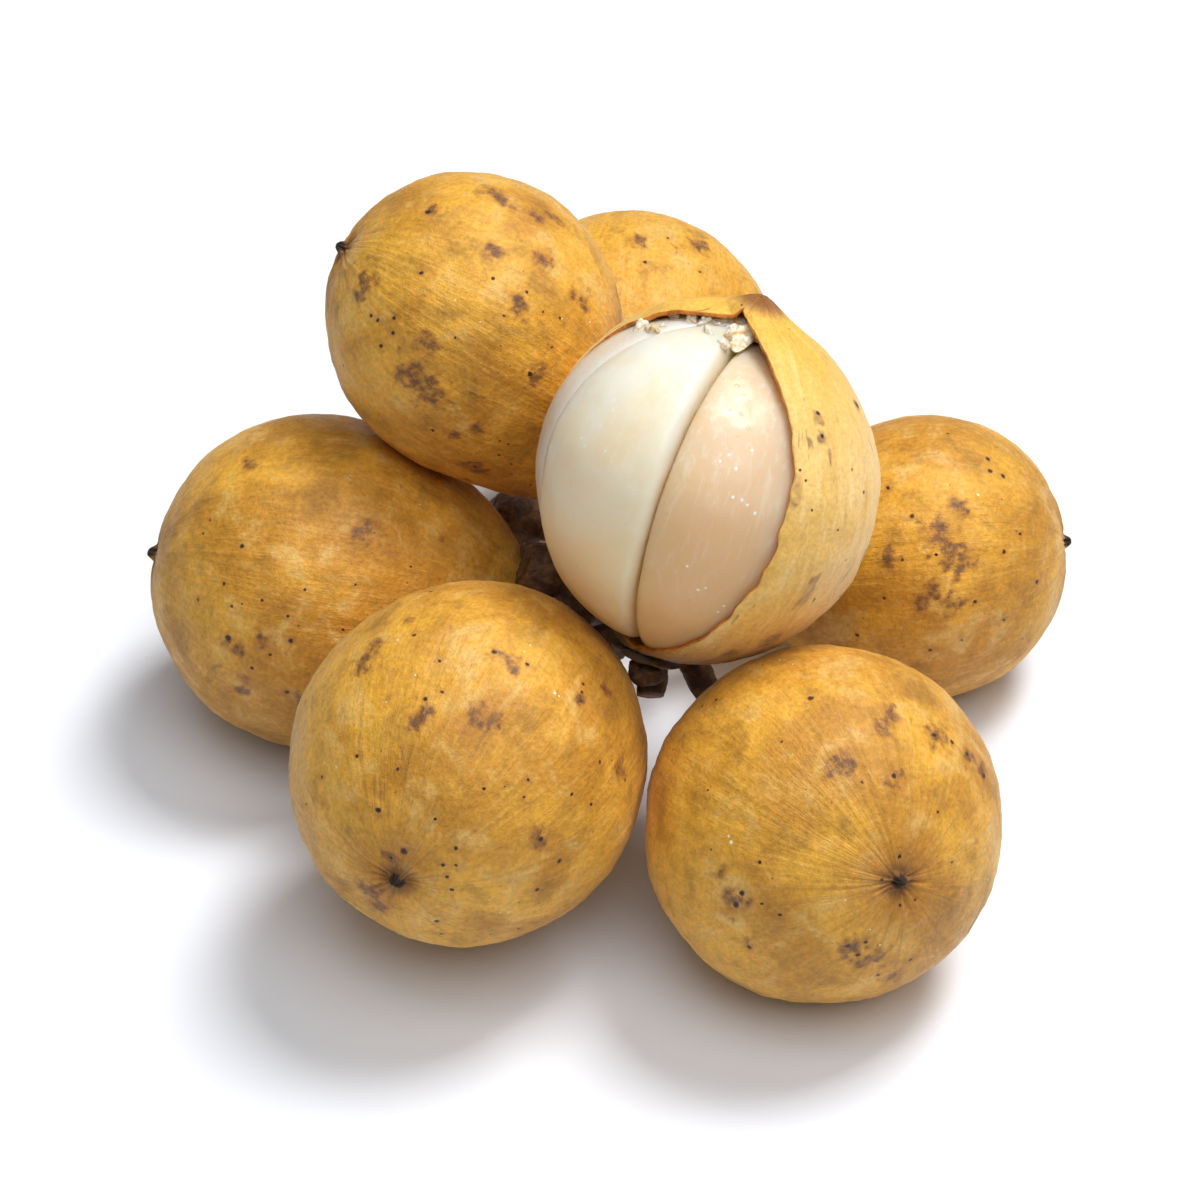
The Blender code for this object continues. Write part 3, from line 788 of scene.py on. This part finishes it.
def open_skin_material(dots, blotches):
    """The opened fruit's skin: paler, with longer stripes and brown strokes along them."""
    tree = Tree("open_skin")
    place = tree.vector("local")
    down = tree.value("down")
    stripe_place = tree.vector("stripes")
    broad = tree.noise(place, 9.0, 2.0, 0.5, 0.4)
    middle = tree.noise(place, 3.0, 4.0, 0.6, 0.6)
    fine = tree.noise(place, 0.5, 3.0, 0.65)
    stripes = tree.noise(stripe_place, 1.1, 3.0, 0.6)
    fine_stripes = tree.noise(stripe_place, 0.35, 2.0, 0.6)
    colour = tree.mix(tree.step(broad, 0.35, 0.65), (0.84, 0.50, 0.115), (0.91, 0.59, 0.19))
    colour = tree.paint(colour, (0.70, 0.36, 0.06), stripes, 0.50, 0.72, 0.40)
    colour = tree.paint(colour, (0.96, 0.74, 0.38), fine_stripes, 0.50, 0.70, 0.35)
    for start, end, share, tint in ((1.15, 0.25, 0.75, (0.90, 0.50, 0.055)),
                                    (0.20, 0.07, 1.0, (0.30, 0.11, 0.02)),
                                    (2.05, 2.85, 0.85, (0.33, 0.17, 0.05))):
        colour = tree.paint(colour, tint, down, start, end, share)
    colour = tree.shade(colour, tree.step(fine, 0.30, 0.70, 0.88, 1.10))
    strokes = tree.step(tree.noise(stripe_place, 0.45, 2.0, 0.5), 0.60, 0.70)
    gathered = tree.step(tree.noise(place, 2.0, 2.0), 0.50, 0.62, 0.0, 0.75)
    strokes = tree.maths("MULTIPLY", strokes, gathered)
    ragged = tree.shift(tree.stretch(place, (1.0, 1.0, BLOTCH_STRETCH)), 1.2, 0.7, 4.0)
    flat_blotches = [(Vector((centre.x, centre.y, centre.z * BLOTCH_STRETCH)), radius, strength)
                     for centre, radius, strength in blotches]
    blotch = spots(tree, ragged, flat_blotches)
    blotch = tree.maths("MULTIPLY", blotch, tree.step(middle, 0.38, 0.60, 0.35, 1.0))
    colour = tree.mix(tree.maths("MAXIMUM", blotch, strokes), colour, (0.22, 0.10, 0.05))
    dot = tree.maths("MAXIMUM", spots(tree, tree.shift(place, 0.5, 0.16), dots),
                     scattered_spots(tree, tree.shift(place, 0.5, 0.14), 2.8, 0.20, 0.35))
    colour = tree.mix(dot, colour, MARK_DARK)
    normal = tree.bump(tree.plus(fine, fine_stripes, 0.6), 0.12 * MM, 0.7)
    rough = tree.step(middle, 0.3, 0.7, 0.48, 0.60)
    tree.shader_inputs(Base_Color=colour, Roughness=rough, Normal=normal, Specular_IOR_Level=SKIN_GLOSS)
    tree.velvet(0.30, 0.40, (1.0, 0.88, 0.66, 1.0))
    return tree.material


def peel_sheet():
    """Points of the peel's outside, and the distance in millimetres from each to the torn edge."""
    across, down = np.meshgrid(np.linspace(0, 1, PEEL_COLUMNS + 1), np.linspace(0, 1, PEEL_ROWS + 1))
    down = math.pi * down ** 1.15
    right, left = opening_edges(down)
    # The opening's edge wanders a little where the opening is wide
    edge_line = stack(20 * MM * down, 9 * MM * np.round(across), 0 * down)
    tear = 0.012 * waves(edge_line, 9 * MM, 95) + 0.007 * waves(edge_line, 2.6 * MM, 96)
    tear *= np.clip((right - 0.3) / 0.3, 0, 1)
    right = right + tear
    left = left + tear
    around = right + across * (2 * math.pi - right - left)
    to_edge = np.minimum(across, 1 - across) * (2 * math.pi - right - left)
    # A fruit's round form, drawn up to a small beak over the apex
    radius, height = fruit_profile(OPEN_FRUIT, down)
    beak = np.where(height > 0, BEAK_HEIGHT * np.exp(-(radius / (2.6 * MM)) ** 2), 0.0)
    local = stack(radius * np.cos(around), radius * np.sin(around), height)
    outward = local / np.linalg.norm(local, axis=-1, keepdims=True)
    # Lumps, stripes and wrinkles near the apex
    relief = 0.10 * MM * waves(local, 9 * MM, 91) + 0.05 * MM * waves(local, 3.5 * MM, 92)
    relief += 0.045 * MM * ridges(around, down, 93, 14, 60) * np.clip(np.sin(down) / 0.15, 0, 1)
    relief += 0.10 * MM * ridges(around, down, 94, 8, 20) * np.exp(-((down - 0.22) / 0.16) ** 2)
    # The upper left edge springs outwards, and the lip along the edge bends in
    upper_left = np.round(across) * np.exp(-((down - 0.75) / 0.5) ** 2)
    relief += 0.9 * MM * upper_left * np.exp(-(to_edge * radius / (5 * MM)) ** 2)
    on_left = np.round(across) * (right > 0.2)
    lip = (0.30 + 0.50 * on_left) * np.exp(-(to_edge * radius / ((0.5 + 0.9 * on_left) * MM)) ** 2)
    points = local + outward * (relief - lip * MM * (right > 0.2))[..., None]
    points[..., 2] += beak
    return points.reshape(-1, 3), (to_edge * radius / MM).ravel()


def thicken_peel(piece, edge):
    """Give the sheet its thickness, inwards, less of it near the edge."""
    thin_edge = piece.vertex_groups.new(name="thin_edge")
    for index, share in enumerate(np.clip(0.42 + edge / 3.5, 0, 1).tolist()):
        thin_edge.add([index], share, "REPLACE")
    thickness = piece.modifiers.new("thickness", "SOLIDIFY")
    thickness.thickness = PEEL_THICKNESS
    thickness.offset = -1.0
    thickness.material_offset = 1
    thickness.material_offset_rim = 2
    thickness.vertex_group = "thin_edge"


def add_open_peel():
    """The opened fruit's peel in place of its solid."""
    matrix = fruit_matrix(OPEN_FRUIT, OPENING_DIRECTION)
    points, edge = peel_sheet()
    columns = PEEL_COLUMNS + 1
    faces = []
    for row in range(PEEL_ROWS):
        for column in range(PEEL_COLUMNS):
            corner = row * columns + column
            faces.append((corner, corner + columns, corner + columns + 1, corner + 1))
    mesh = bpy.data.meshes.new("open_peel")
    mesh.from_pydata(points.tolist(), [], faces)
    save_values(mesh, "edge", edge)
    body = bmesh.new()
    body.from_mesh(mesh)
    bmesh.ops.remove_doubles(body, verts=body.verts, dist=0.01 * MM)
    body.to_mesh(mesh)
    body.free()
    mesh.shade_smooth()
    keep_inside(mesh, matrix)
    save_skin_values(mesh, *local_angles(mesh))
    piece = add_piece("open_fruit_peel", mesh, matrix, [], "open_peel")
    bpy.context.view_layer.update()
    dots = place_marks(piece, matrix, DOTS["open_peel"], 1.0)
    blotches = place_marks(piece, matrix, BLOTCHES["open_peel"], 0.8)
    mesh.materials.append(open_skin_material(dots, blotches))
    mesh.materials.append(inner_peel_material())
    mesh.materials.append(rim_material())
    thicken_peel(piece, read_numbers(mesh.attributes["edge"].data, "value", 1)[:, 0])


# Segments of flesh

ARIL_MESH = (200, 150)
HIDDEN_ARIL_MESH = (80, 60)


def flesh_material(name, tint, deep, seed, bubbles, glints):
    """Wet translucent flesh: cream, tan lower down, with faint veins, bubbles and bright specks painted
    as glints.
    """
    tree = Tree(name)
    own_place = tree.vector("local")
    place = tree.moved(own_place, (seed, -seed, 2 * seed))
    down = tree.value("down")
    clouds = tree.noise(place, 7.0, 2.0, 0.5, 0.4)
    veins = tree.noise(tree.stretch(place, (1.0, 1.0, 0.16)), 0.7, 3.0, 0.6, 0.3)
    colour = tree.mix(tree.step(clouds, 0.30, 0.70, 0.0, 0.5), tint, deep)
    colour = tree.paint(colour, (0.99, 0.93, 0.84), veins, 0.50, 0.70, 0.26)
    colour = tree.paint(colour, deep, down, 0.9, 2.6, 0.95)
    specks = scattered_spots(tree, place, 4.5, 0.20, 0.20)
    colour = tree.mix(tree.maths("MULTIPLY", specks, 0.25), colour, (0.42, 0.26, 0.13))
    uneven = tree.shift(own_place, 0.5, 0.14, seed)
    # Bright specks painted into the colour as glints of light
    colour = tree.mix(spots(tree, uneven, widened(glints, 1.7)), colour, (0.98, 0.96, 0.92))
    bubble = spots(tree, own_place, widened(bubbles, 1.3))
    height = tree.plus(tree.plus(tree.noise(place, 2.4, 3.0), veins, 0.30), bubble, 1.3)
    normal = tree.bump(height, 0.30 * MM, 0.45)
    rough = tree.step(tree.noise(place, 2.6, 3.0, 0.6), 0.35, 0.65, 0.28, 0.48)
    tree.shader_inputs(Base_Color=colour, Roughness=rough, Normal=normal, IOR=1.38)
    tree.scatter_light(0.85, (1.0, 0.72, 0.45), 8 * MM)
    tree.shader_inputs(Coat_Weight=0.20, Coat_Roughness=0.20, Coat_IOR=1.38)
    return tree.material


def flesh_limit(start, way, downwards):
    """Distance from a point inside the flesh to its outer surface, an ellipsoid of two halves."""
    distances = []
    for reach in (ARIL_UP, downwards):
        squeeze = np.array([1.0, 1.0, ARIL_RADIUS / reach])
        place = start * squeeze
        slope = way * squeeze
        length = (slope ** 2).sum(axis=-1)
        half = (slope @ place) / length
        rest = (place @ place - ARIL_RADIUS ** 2) / length
        distances.append(-half + np.sqrt(half ** 2 - rest))
    return np.where(start[2] + way[..., 2] * distances[0] >= 0.0, distances[0], distances[1])


def aril_surface(number, around, down):
    """Points of a segment's surface in its own frame, +X outwards and +Z to the apex."""
    outwards, downwards = ARIL_SPRUNG.get(number, (0.0, 0.0))
    half_wedge = math.radians(ARIL_EDGES[number + 1] - ARIL_EDGES[number]) / 2
    side = ARIL_CORE * math.sin(half_wedge) + 0.02 * MM
    sharpness = ROUNDER_ARILS.get(number, ARIL_SHARPNESS)
    # Along each way out of the middle, the nearest of the outer surface and the two flat sides,
    # blended so that the edges between them are round
    middle = np.array([ARIL_CORE, 0.0, 0.0])
    way = stack(np.sin(down) * np.cos(around), np.sin(down) * np.sin(around), 2.4 * np.cos(down))
    way /= np.linalg.norm(way, axis=-1, keepdims=True)
    start = middle - np.array([outwards, 0.0, -downwards])
    closeness = flesh_limit(start, way, LONGER_ARILS.get(number, ARIL_DOWN)) ** -sharpness
    for hand in (1.0, -1.0):
        slope = way @ np.array([-math.sin(half_wedge), hand * math.cos(half_wedge), 0.0])
        closeness = closeness + (np.maximum(slope, 0.0) / side) ** sharpness
    local = middle + way * (closeness ** (-1.0 / sharpness))[..., None]
    relief = 0.05 * MM * waves(local, 7 * MM, 60 + number)
    relief += 0.02 * MM * waves(local, 2.2 * MM, 70 + number)
    outer = np.clip((local[..., 0] - ARIL_CORE) / (3 * MM), 0, 1)
    return local + way * (relief * outer)[..., None]


# Bubbles of the flesh, and bright specks painted as glints, in the photo at pixels, with their radius
# in millimetres
BUBBLES = {
    "aril_1": [(626, 524, 0.16), (577, 566, 0.16), (602, 586, 0.14), (556, 540, 0.14)],
    "aril_2": [
        (737, 386, 0.24), (744, 395, 0.18), (750, 402, 0.22), (741, 414, 0.18), (748, 428, 0.22),
        (738, 436, 0.16), (730, 410, 0.16), (755, 380, 0.16), (690, 600, 0.16), (672, 622, 0.16),
    ],
    "aril_5": [],
}
FLESH_GLINTS = {
    "aril_1": [
        (582, 438, 0.13), (585, 446, 0.12), (614, 400, 0.15), (613, 410, 0.12), (605, 451, 0.12),
        (600, 426, 0.12), (538, 511, 0.12), (548, 500, 0.10), (664, 384, 0.10), (571, 600, 0.10),
    ],
    "aril_2": [
        (720, 461, 0.13), (736, 469, 0.14), (733, 497, 0.13), (742, 500, 0.15), (747, 505, 0.13),
        (755, 513, 0.15), (687, 566, 0.12), (706, 588, 0.12), (698, 590, 0.12), (729, 455, 0.12),
        (718, 612, 0.12), (724, 606, 0.12), (752, 450, 0.10),
    ],
    "aril_5": [(620, 344, 0.12), (628, 338, 0.12)],
}
FLESH_TINTS = {
    "aril_1": ((0.99, 0.87, 0.74), (0.96, 0.67, 0.37)),
    "aril_2": ((0.82, 0.61, 0.42), (0.79, 0.48, 0.21)),
    "aril_5": ((0.86, 0.74, 0.62), (0.84, 0.66, 0.48)),
}


def add_aril(number):
    """One segment of flesh in place of its solid."""
    name = f"aril_{number + 1}"
    turn = math.radians(ARIL_EDGES[number] + ARIL_EDGES[number + 1]) / 2
    matrix = fruit_matrix(OPEN_FRUIT, OPENING_DIRECTION) @ Matrix.Rotation(turn, 4, "Z")

    def shape(around, down):
        return aril_surface(number, around, down)

    mesh = closed_mesh(name, *(ARIL_MESH if name in FLESH_TINTS else HIDDEN_ARIL_MESH), shape)
    save_values(mesh, "down", local_angles(mesh)[1])
    piece = add_piece(name + "_flesh", mesh, matrix, [], name)
    bpy.context.view_layer.update()
    bubbles = place_marks(piece, matrix, BUBBLES.get(name, []), 1.0)
    glints = place_marks(piece, matrix, FLESH_GLINTS.get(name, []), 0.9)
    tint, deep = FLESH_TINTS.get(name, FLESH_TINTS["aril_1"])
    mesh.materials.append(flesh_material(name + "_flesh", tint, deep, 3.0 * number, bubbles, glints))


# Pith

PITH_MESH = (200, 60)


def pith_material():
    """White and cream fibre with orange stains."""
    tree = Tree("pith")
    place = tree.vector("local")
    stains = tree.noise(place, 1.5, 4.0, 0.6, 0.5)
    colour = tree.mix(tree.step(stains, 0.50, 0.64), (0.90, 0.80, 0.61), (0.80, 0.43, 0.11))
    colour = tree.paint(colour, (0.98, 0.95, 0.86), tree.noise(place, 0.3, 3.0), 0.5, 0.7, 0.5)
    normal = tree.bump(tree.noise(place, 0.25, 4.0), 0.2 * MM, 0.8)
    tree.shader_inputs(Base_Color=colour, Roughness=0.35, Normal=normal)
    tree.scatter_light(0.5, (1.0, 0.8, 0.5), 1.5 * MM)
    return tree.material


# Crumbs of pith that cling to the flesh under the peel's edge: pixel and size in millimetres
CRUMBS = [(636, 330, 0.50), (642, 326, 0.55), (650, 330, 0.48), (657, 331, 0.42), (663, 326, 0.36),
          (674, 318, 0.50), (682, 316, 0.52), (690, 320, 0.44), (698, 316, 0.55), (705, 322, 0.62),
          (714, 316, 0.66), (721, 326, 0.72), (727, 336, 0.58), (722, 345, 0.44), (736, 322, 0.66),
          (744, 332, 0.50), (708, 332, 0.46), (730, 312, 0.60)]


def add_crumbs(mesh, matrix):
    """Add little frayed lumps of pith to the tuft's mesh, where the lines of sight meet the flesh."""
    back = camera_axes()[3]
    graph = bpy.context.evaluated_depsgraph_get()
    body = bmesh.new()
    body.from_mesh(mesh)
    for number, (x, y, size) in enumerate(CRUMBS):
        start, direction = pixel_ray(x, y)
        hit, point, _, _, struck, _ = bpy.context.scene.ray_cast(graph, start, direction)
        if hit and struck.name.endswith("_flesh"):
            centre = matrix.inverted() @ (point + back * 0.1 * size * MM)
            lump = bmesh.ops.create_icosphere(body, subdivisions=3, radius=size * MM)["verts"]
            places = np.array([vertex.co for vertex in lump])
            squash = np.random.default_rng(600 + number).uniform(0.55, 1.5, 3)
            fray = 1 + 0.45 * waves(places, 0.9 * MM, 400 + number)
            fray += 0.25 * waves(places, 0.4 * MM, 500 + number)
            for vertex, place in zip(lump, places * squash * fray[:, None]):
                vertex.co = centre + Vector(place)
    for face in body.faces:
        face.smooth = True
    body.to_mesh(mesh)
    body.free()


def add_pith(material):
    """The fibrous tuft between the segments' tips and the peel."""
    matrix = fruit_matrix(OPEN_FRUIT, OPENING_DIRECTION) @ Matrix.Rotation(PITH_TURN, 4, "Z")
    matrix = matrix @ Matrix.Translation((0.0, 0.0, PITH_HEIGHT))

    def shape(around, down):
        ray = np.abs(np.sin(2.5 * around)) ** 1.5
        reach = (3.0 + 2.6 * ray + 0.5 * np.sin(11 * around)) * MM * np.sin(down)
        sag = 1.0 * MM * (reach / (4.4 * MM)) ** 2
        local = stack(reach * np.cos(around), reach * np.sin(around), 0.65 * MM * np.cos(down) - sag)
        fray = 0.20 * MM * waves(local, 1.2 * MM, 81) + 0.10 * MM * waves(local, 0.5 * MM, 82)
        outward = stack(np.cos(around) * np.sin(down), np.sin(around) * np.sin(down), np.cos(down))
        return local + outward * fray[..., None]

    mesh = closed_mesh("pith", *PITH_MESH, shape)
    add_crumbs(mesh, matrix)
    add_piece("pith_tuft", mesh, matrix, [material], "pith")


# Calyces and stalk

CALYX_MESH = (120, 28)
BARK_VOXEL = 0.26 * MM


def sepal_material():
    """Dark olive sepals with brown edges and fine hair."""
    tree = Tree("sepals")
    place = tree.vector("local")
    mottle = tree.noise(place, 1.4, 4.0, 0.6, 0.4)
    colour = tree.mix(tree.step(mottle, 0.38, 0.64), (0.085, 0.045, 0.016), (0.22, 0.13, 0.045))
    colour = tree.mix(tree.value("rim"), colour, (0.07, 0.03, 0.015))
    normal = tree.bump(tree.noise(place, 0.25, 3.0), 0.15 * MM, 0.7)
    tree.shader_inputs(Base_Color=colour, Roughness=0.48, Normal=normal)
    tree.velvet(0.2, 0.4, (0.9, 0.85, 0.7, 1.0))
    return tree.material


def add_calyx(name, fruit, material, seed):
    """Five joined sepals that cup the stalk end, in place of their solid."""
    flip = Matrix.Translation((0.0, 0.0, -fruit["to_stalk"] * MM)) @ Matrix.Rotation(math.pi, 4, "X")
    matrix = fruit_matrix(fruit) @ flip
    end_radius = fruit["radius"] * MM * (1.0 - fruit["neck"])

    def shape(around, down):
        reach = CALYX_WAIST + CALYX_LOBE * np.abs(np.cos(2.5 * around)) ** 0.8
        reach = reach * (1.0 + 0.03 * np.sin(9 * around + seed)) * 0.97
        distance = reach * np.sin(down)
        drop = fruit["to_stalk"] * MM * (1.0 - np.sqrt(1.0 - (distance / end_radius) ** 2))
        rise = CALYX_THICKNESS * (1.0 + np.cos(down)) / 2
        local = stack(distance * np.cos(around), distance * np.sin(around), GAP - drop + rise)
        veins = 0.05 * MM * np.cos(5 * around) * np.sin(down) + 0.03 * MM * waves(local, 0.9 * MM, seed)
        upper = np.clip(np.cos(down), 0, 1)
        local[..., 2] += veins * upper - 0.03 * MM * upper
        return local

    mesh = closed_mesh(name, *CALYX_MESH, shape)
    points = mesh_points(mesh)
    distance = np.hypot(points[:, 0], points[:, 1])
    save_values(mesh, "rim", np.clip((distance / MM - 3.0) / 1.4, 0, 1) * 0.7)
    add_piece(name + "_sepals", mesh, matrix, [material], name)


def bark_material():
    """Dark woody bark with lengthwise cracks, and a paler cut end."""
    tree = Tree("bark")
    place = tree.vector("local")
    mottle = tree.noise(place, 1.6, 4.0, 0.6, 0.6)
    cracks = tree.noise(place, 0.5, 4.0, 0.7)
    colour = tree.mix(tree.step(mottle, 0.36, 0.64), (0.060, 0.027, 0.012), (0.19, 0.095, 0.038))
    colour = tree.paint(colour, (0.28, 0.19, 0.10), cracks, 0.58, 0.72, 0.5)
    colour = tree.mix(tree.value("cut"), colour, (0.42, 0.25, 0.17))
    normal = tree.bump(tree.plus(cracks, mottle), 0.3 * MM, 0.8)
    tree.shader_inputs(Base_Color=colour, Roughness=0.55, Normal=normal)
    return tree.material


def branch(route, radii):
    """A curve object for one branch, through places in metres."""
    curve = bpy.data.curves.new("branch", "CURVE")
    curve.dimensions = "3D"
    curve.bevel_depth = 1.0
    curve.bevel_resolution = 6
    curve.use_fill_caps = True
    spline = curve.splines.new("POLY")
    spline.points.add(len(route) - 1)
    for point, place, radius in zip(spline.points, route, radii):
        point.co = (*place, 1.0)
        point.radius = radius
    return add_object("branch", curve)


def in_metres(places):
    return [Vector(place) * MM for place in places]


def stalk_branches(fruits):
    """Curve objects for the main stalk, each fruit's pedicel and the knobs of fallen fruits, whose dark
    bark also stands in for shade between the fruits.
    """
    branches = [branch(in_metres(STALK_ROUTE), [STALK_RADIUS * factor for factor in STALK_SWELLING])]
    for name, fruit in fruits.items():
        away = -Vector(fruit["apex"]).normalized()
        stalk_end = (Vector(fruit["centre"]) + away * fruit["to_stalk"]) * MM
        start = stalk_end + away * (CALYX_THICKNESS + 2 * GAP)
        collar = start + away * 1.1 * MM
        route = [start, collar] + in_metres(PEDICEL_ROUTES[name])
        # Thicker pedicels, whose dark bark stands in for shade between the fruits
        thick = PEDICEL_RADIUS * (1.7 if name in PEDICELS_THICKENED_FOR_SHADE else 1.1)
        branches.append(branch(route, [PEDICEL_RADIUS * 1.25] + [thick] * (len(route) - 1)))
    # Dark knobs whose bark stands in partly for the shade in gaps between the fruits
    for route, radii in FALLEN_FRUIT_KNOBS_AND_SHADE:
        branches.append(branch(in_metres(route), [radius * MM for radius in radii]))
    return branches


def blended(branches):
    """One mesh of all the branches, with smooth joins."""
    graph = bpy.context.evaluated_depsgraph_get()
    body = bmesh.new()
    for holder in branches:
        part = bpy.data.meshes.new_from_object(holder.evaluated_get(graph))
        body.from_mesh(part)
        bpy.data.meshes.remove(part)
        bpy.data.objects.remove(holder)
    bmesh.ops.remove_doubles(body, verts=body.verts, dist=0.001 * MM)
    rough = bpy.data.meshes.new("rachis")
    body.to_mesh(rough)
    body.free()
    source = add_object("rachis_source", rough)
    remesh = source.modifiers.new("blend", "REMESH")
    remesh.mode = "VOXEL"
    remesh.voxel_size = BARK_VOXEL
    smooth = source.modifiers.new("smooth", "SMOOTH")
    smooth.factor = 0.5
    smooth.iterations = 3
    graph = bpy.context.evaluated_depsgraph_get()
    mesh = bpy.data.meshes.new_from_object(source.evaluated_get(graph))
    bpy.data.objects.remove(source)
    return mesh


def add_rachis(fruits, material):
    """The stalk and pedicels, grown as one piece, with rough bark and a smooth cut end."""
    mesh = blended(stalk_branches(fruits))
    points = mesh_points(mesh)
    normals = read_numbers(mesh.vertices, "normal", 3)
    end, inner = in_metres(STALK_ROUTE[:2])
    past_cut = (points - np.array(end)) @ np.array((end - inner).normalized())
    near_cut = np.linalg.norm(points - np.array(end), axis=1) < STALK_RADIUS
    cut = np.clip((past_cut / MM + 0.35) / 0.2, 0, 1) * near_cut
    rough_bark = 0.10 * MM * waves(points, 2.4 * MM, 201) + 0.05 * MM * waves(points, 0.9 * MM, 202)
    set_points(mesh, points + normals * (rough_bark * (1 - cut) - 0.05 * MM)[:, None])
    save_values(mesh, "cut", cut)
    mesh.shade_smooth()
    add_piece("rachis_bark", mesh, Matrix.Identity(4), [material], "rachis")


# Floor and light

def add_floor():
    """A plain white glossy floor."""
    tree = Tree("floor")
    tree.shader_inputs(Base_Color=FLOOR_COLOUR, Roughness=0.16, Specular_IOR_Level=0.35)
    bpy.ops.mesh.primitive_plane_add(size=FLOOR_SIZE, location=(0.0, 0.0, 0.0))
    floor = bpy.context.object
    floor.name = "floor"
    floor.data.materials.append(tree.material)


def add_light(name, place, size, power, colour):
    """A soft square light that faces the bunch."""
    light = bpy.data.lights.new(name, "AREA")
    light.shape = "SQUARE"
    light.size = size
    light.energy = power
    light.color = colour
    turn = (LIGHT_TARGET - Vector(place)).to_track_quat("-Z", "Y")
    add_object(name, light, Matrix.Translation(place) @ turn.to_matrix().to_4x4())


def add_world():
    world = bpy.data.worlds.new("studio")
    world.use_nodes = True
    background = world.node_tree.nodes["Background"]
    background.inputs["Color"].default_value = WORLD_COLOUR
    background.inputs["Strength"].default_value = WORLD_STRENGTH
    bpy.context.scene.world = world


# Build the scene

add_camera()
add_world()
add_floor()
for light_name, light_values in LIGHTS.items():
    add_light(light_name, *light_values)
bpy.context.scene.view_settings.view_transform = "Standard"

for index, (fruit_name, fruit_data) in enumerate(WHOLE_FRUITS.items()):
    add_fruit(fruit_name, fruit_data, index)
add_open_peel()
for index in range(len(ARIL_EDGES) - 1):
    add_aril(index)
add_pith(pith_material())
all_fruits = dict(WHOLE_FRUITS, open_fruit=OPEN_FRUIT)
sepal_look = sepal_material()
for index, (fruit_name, fruit_data) in enumerate(all_fruits.items()):
    add_calyx("calyx_" + fruit_name.removeprefix("fruit_"), fruit_data, sepal_look, 300 + index)
add_rachis(all_fruits, bark_material())
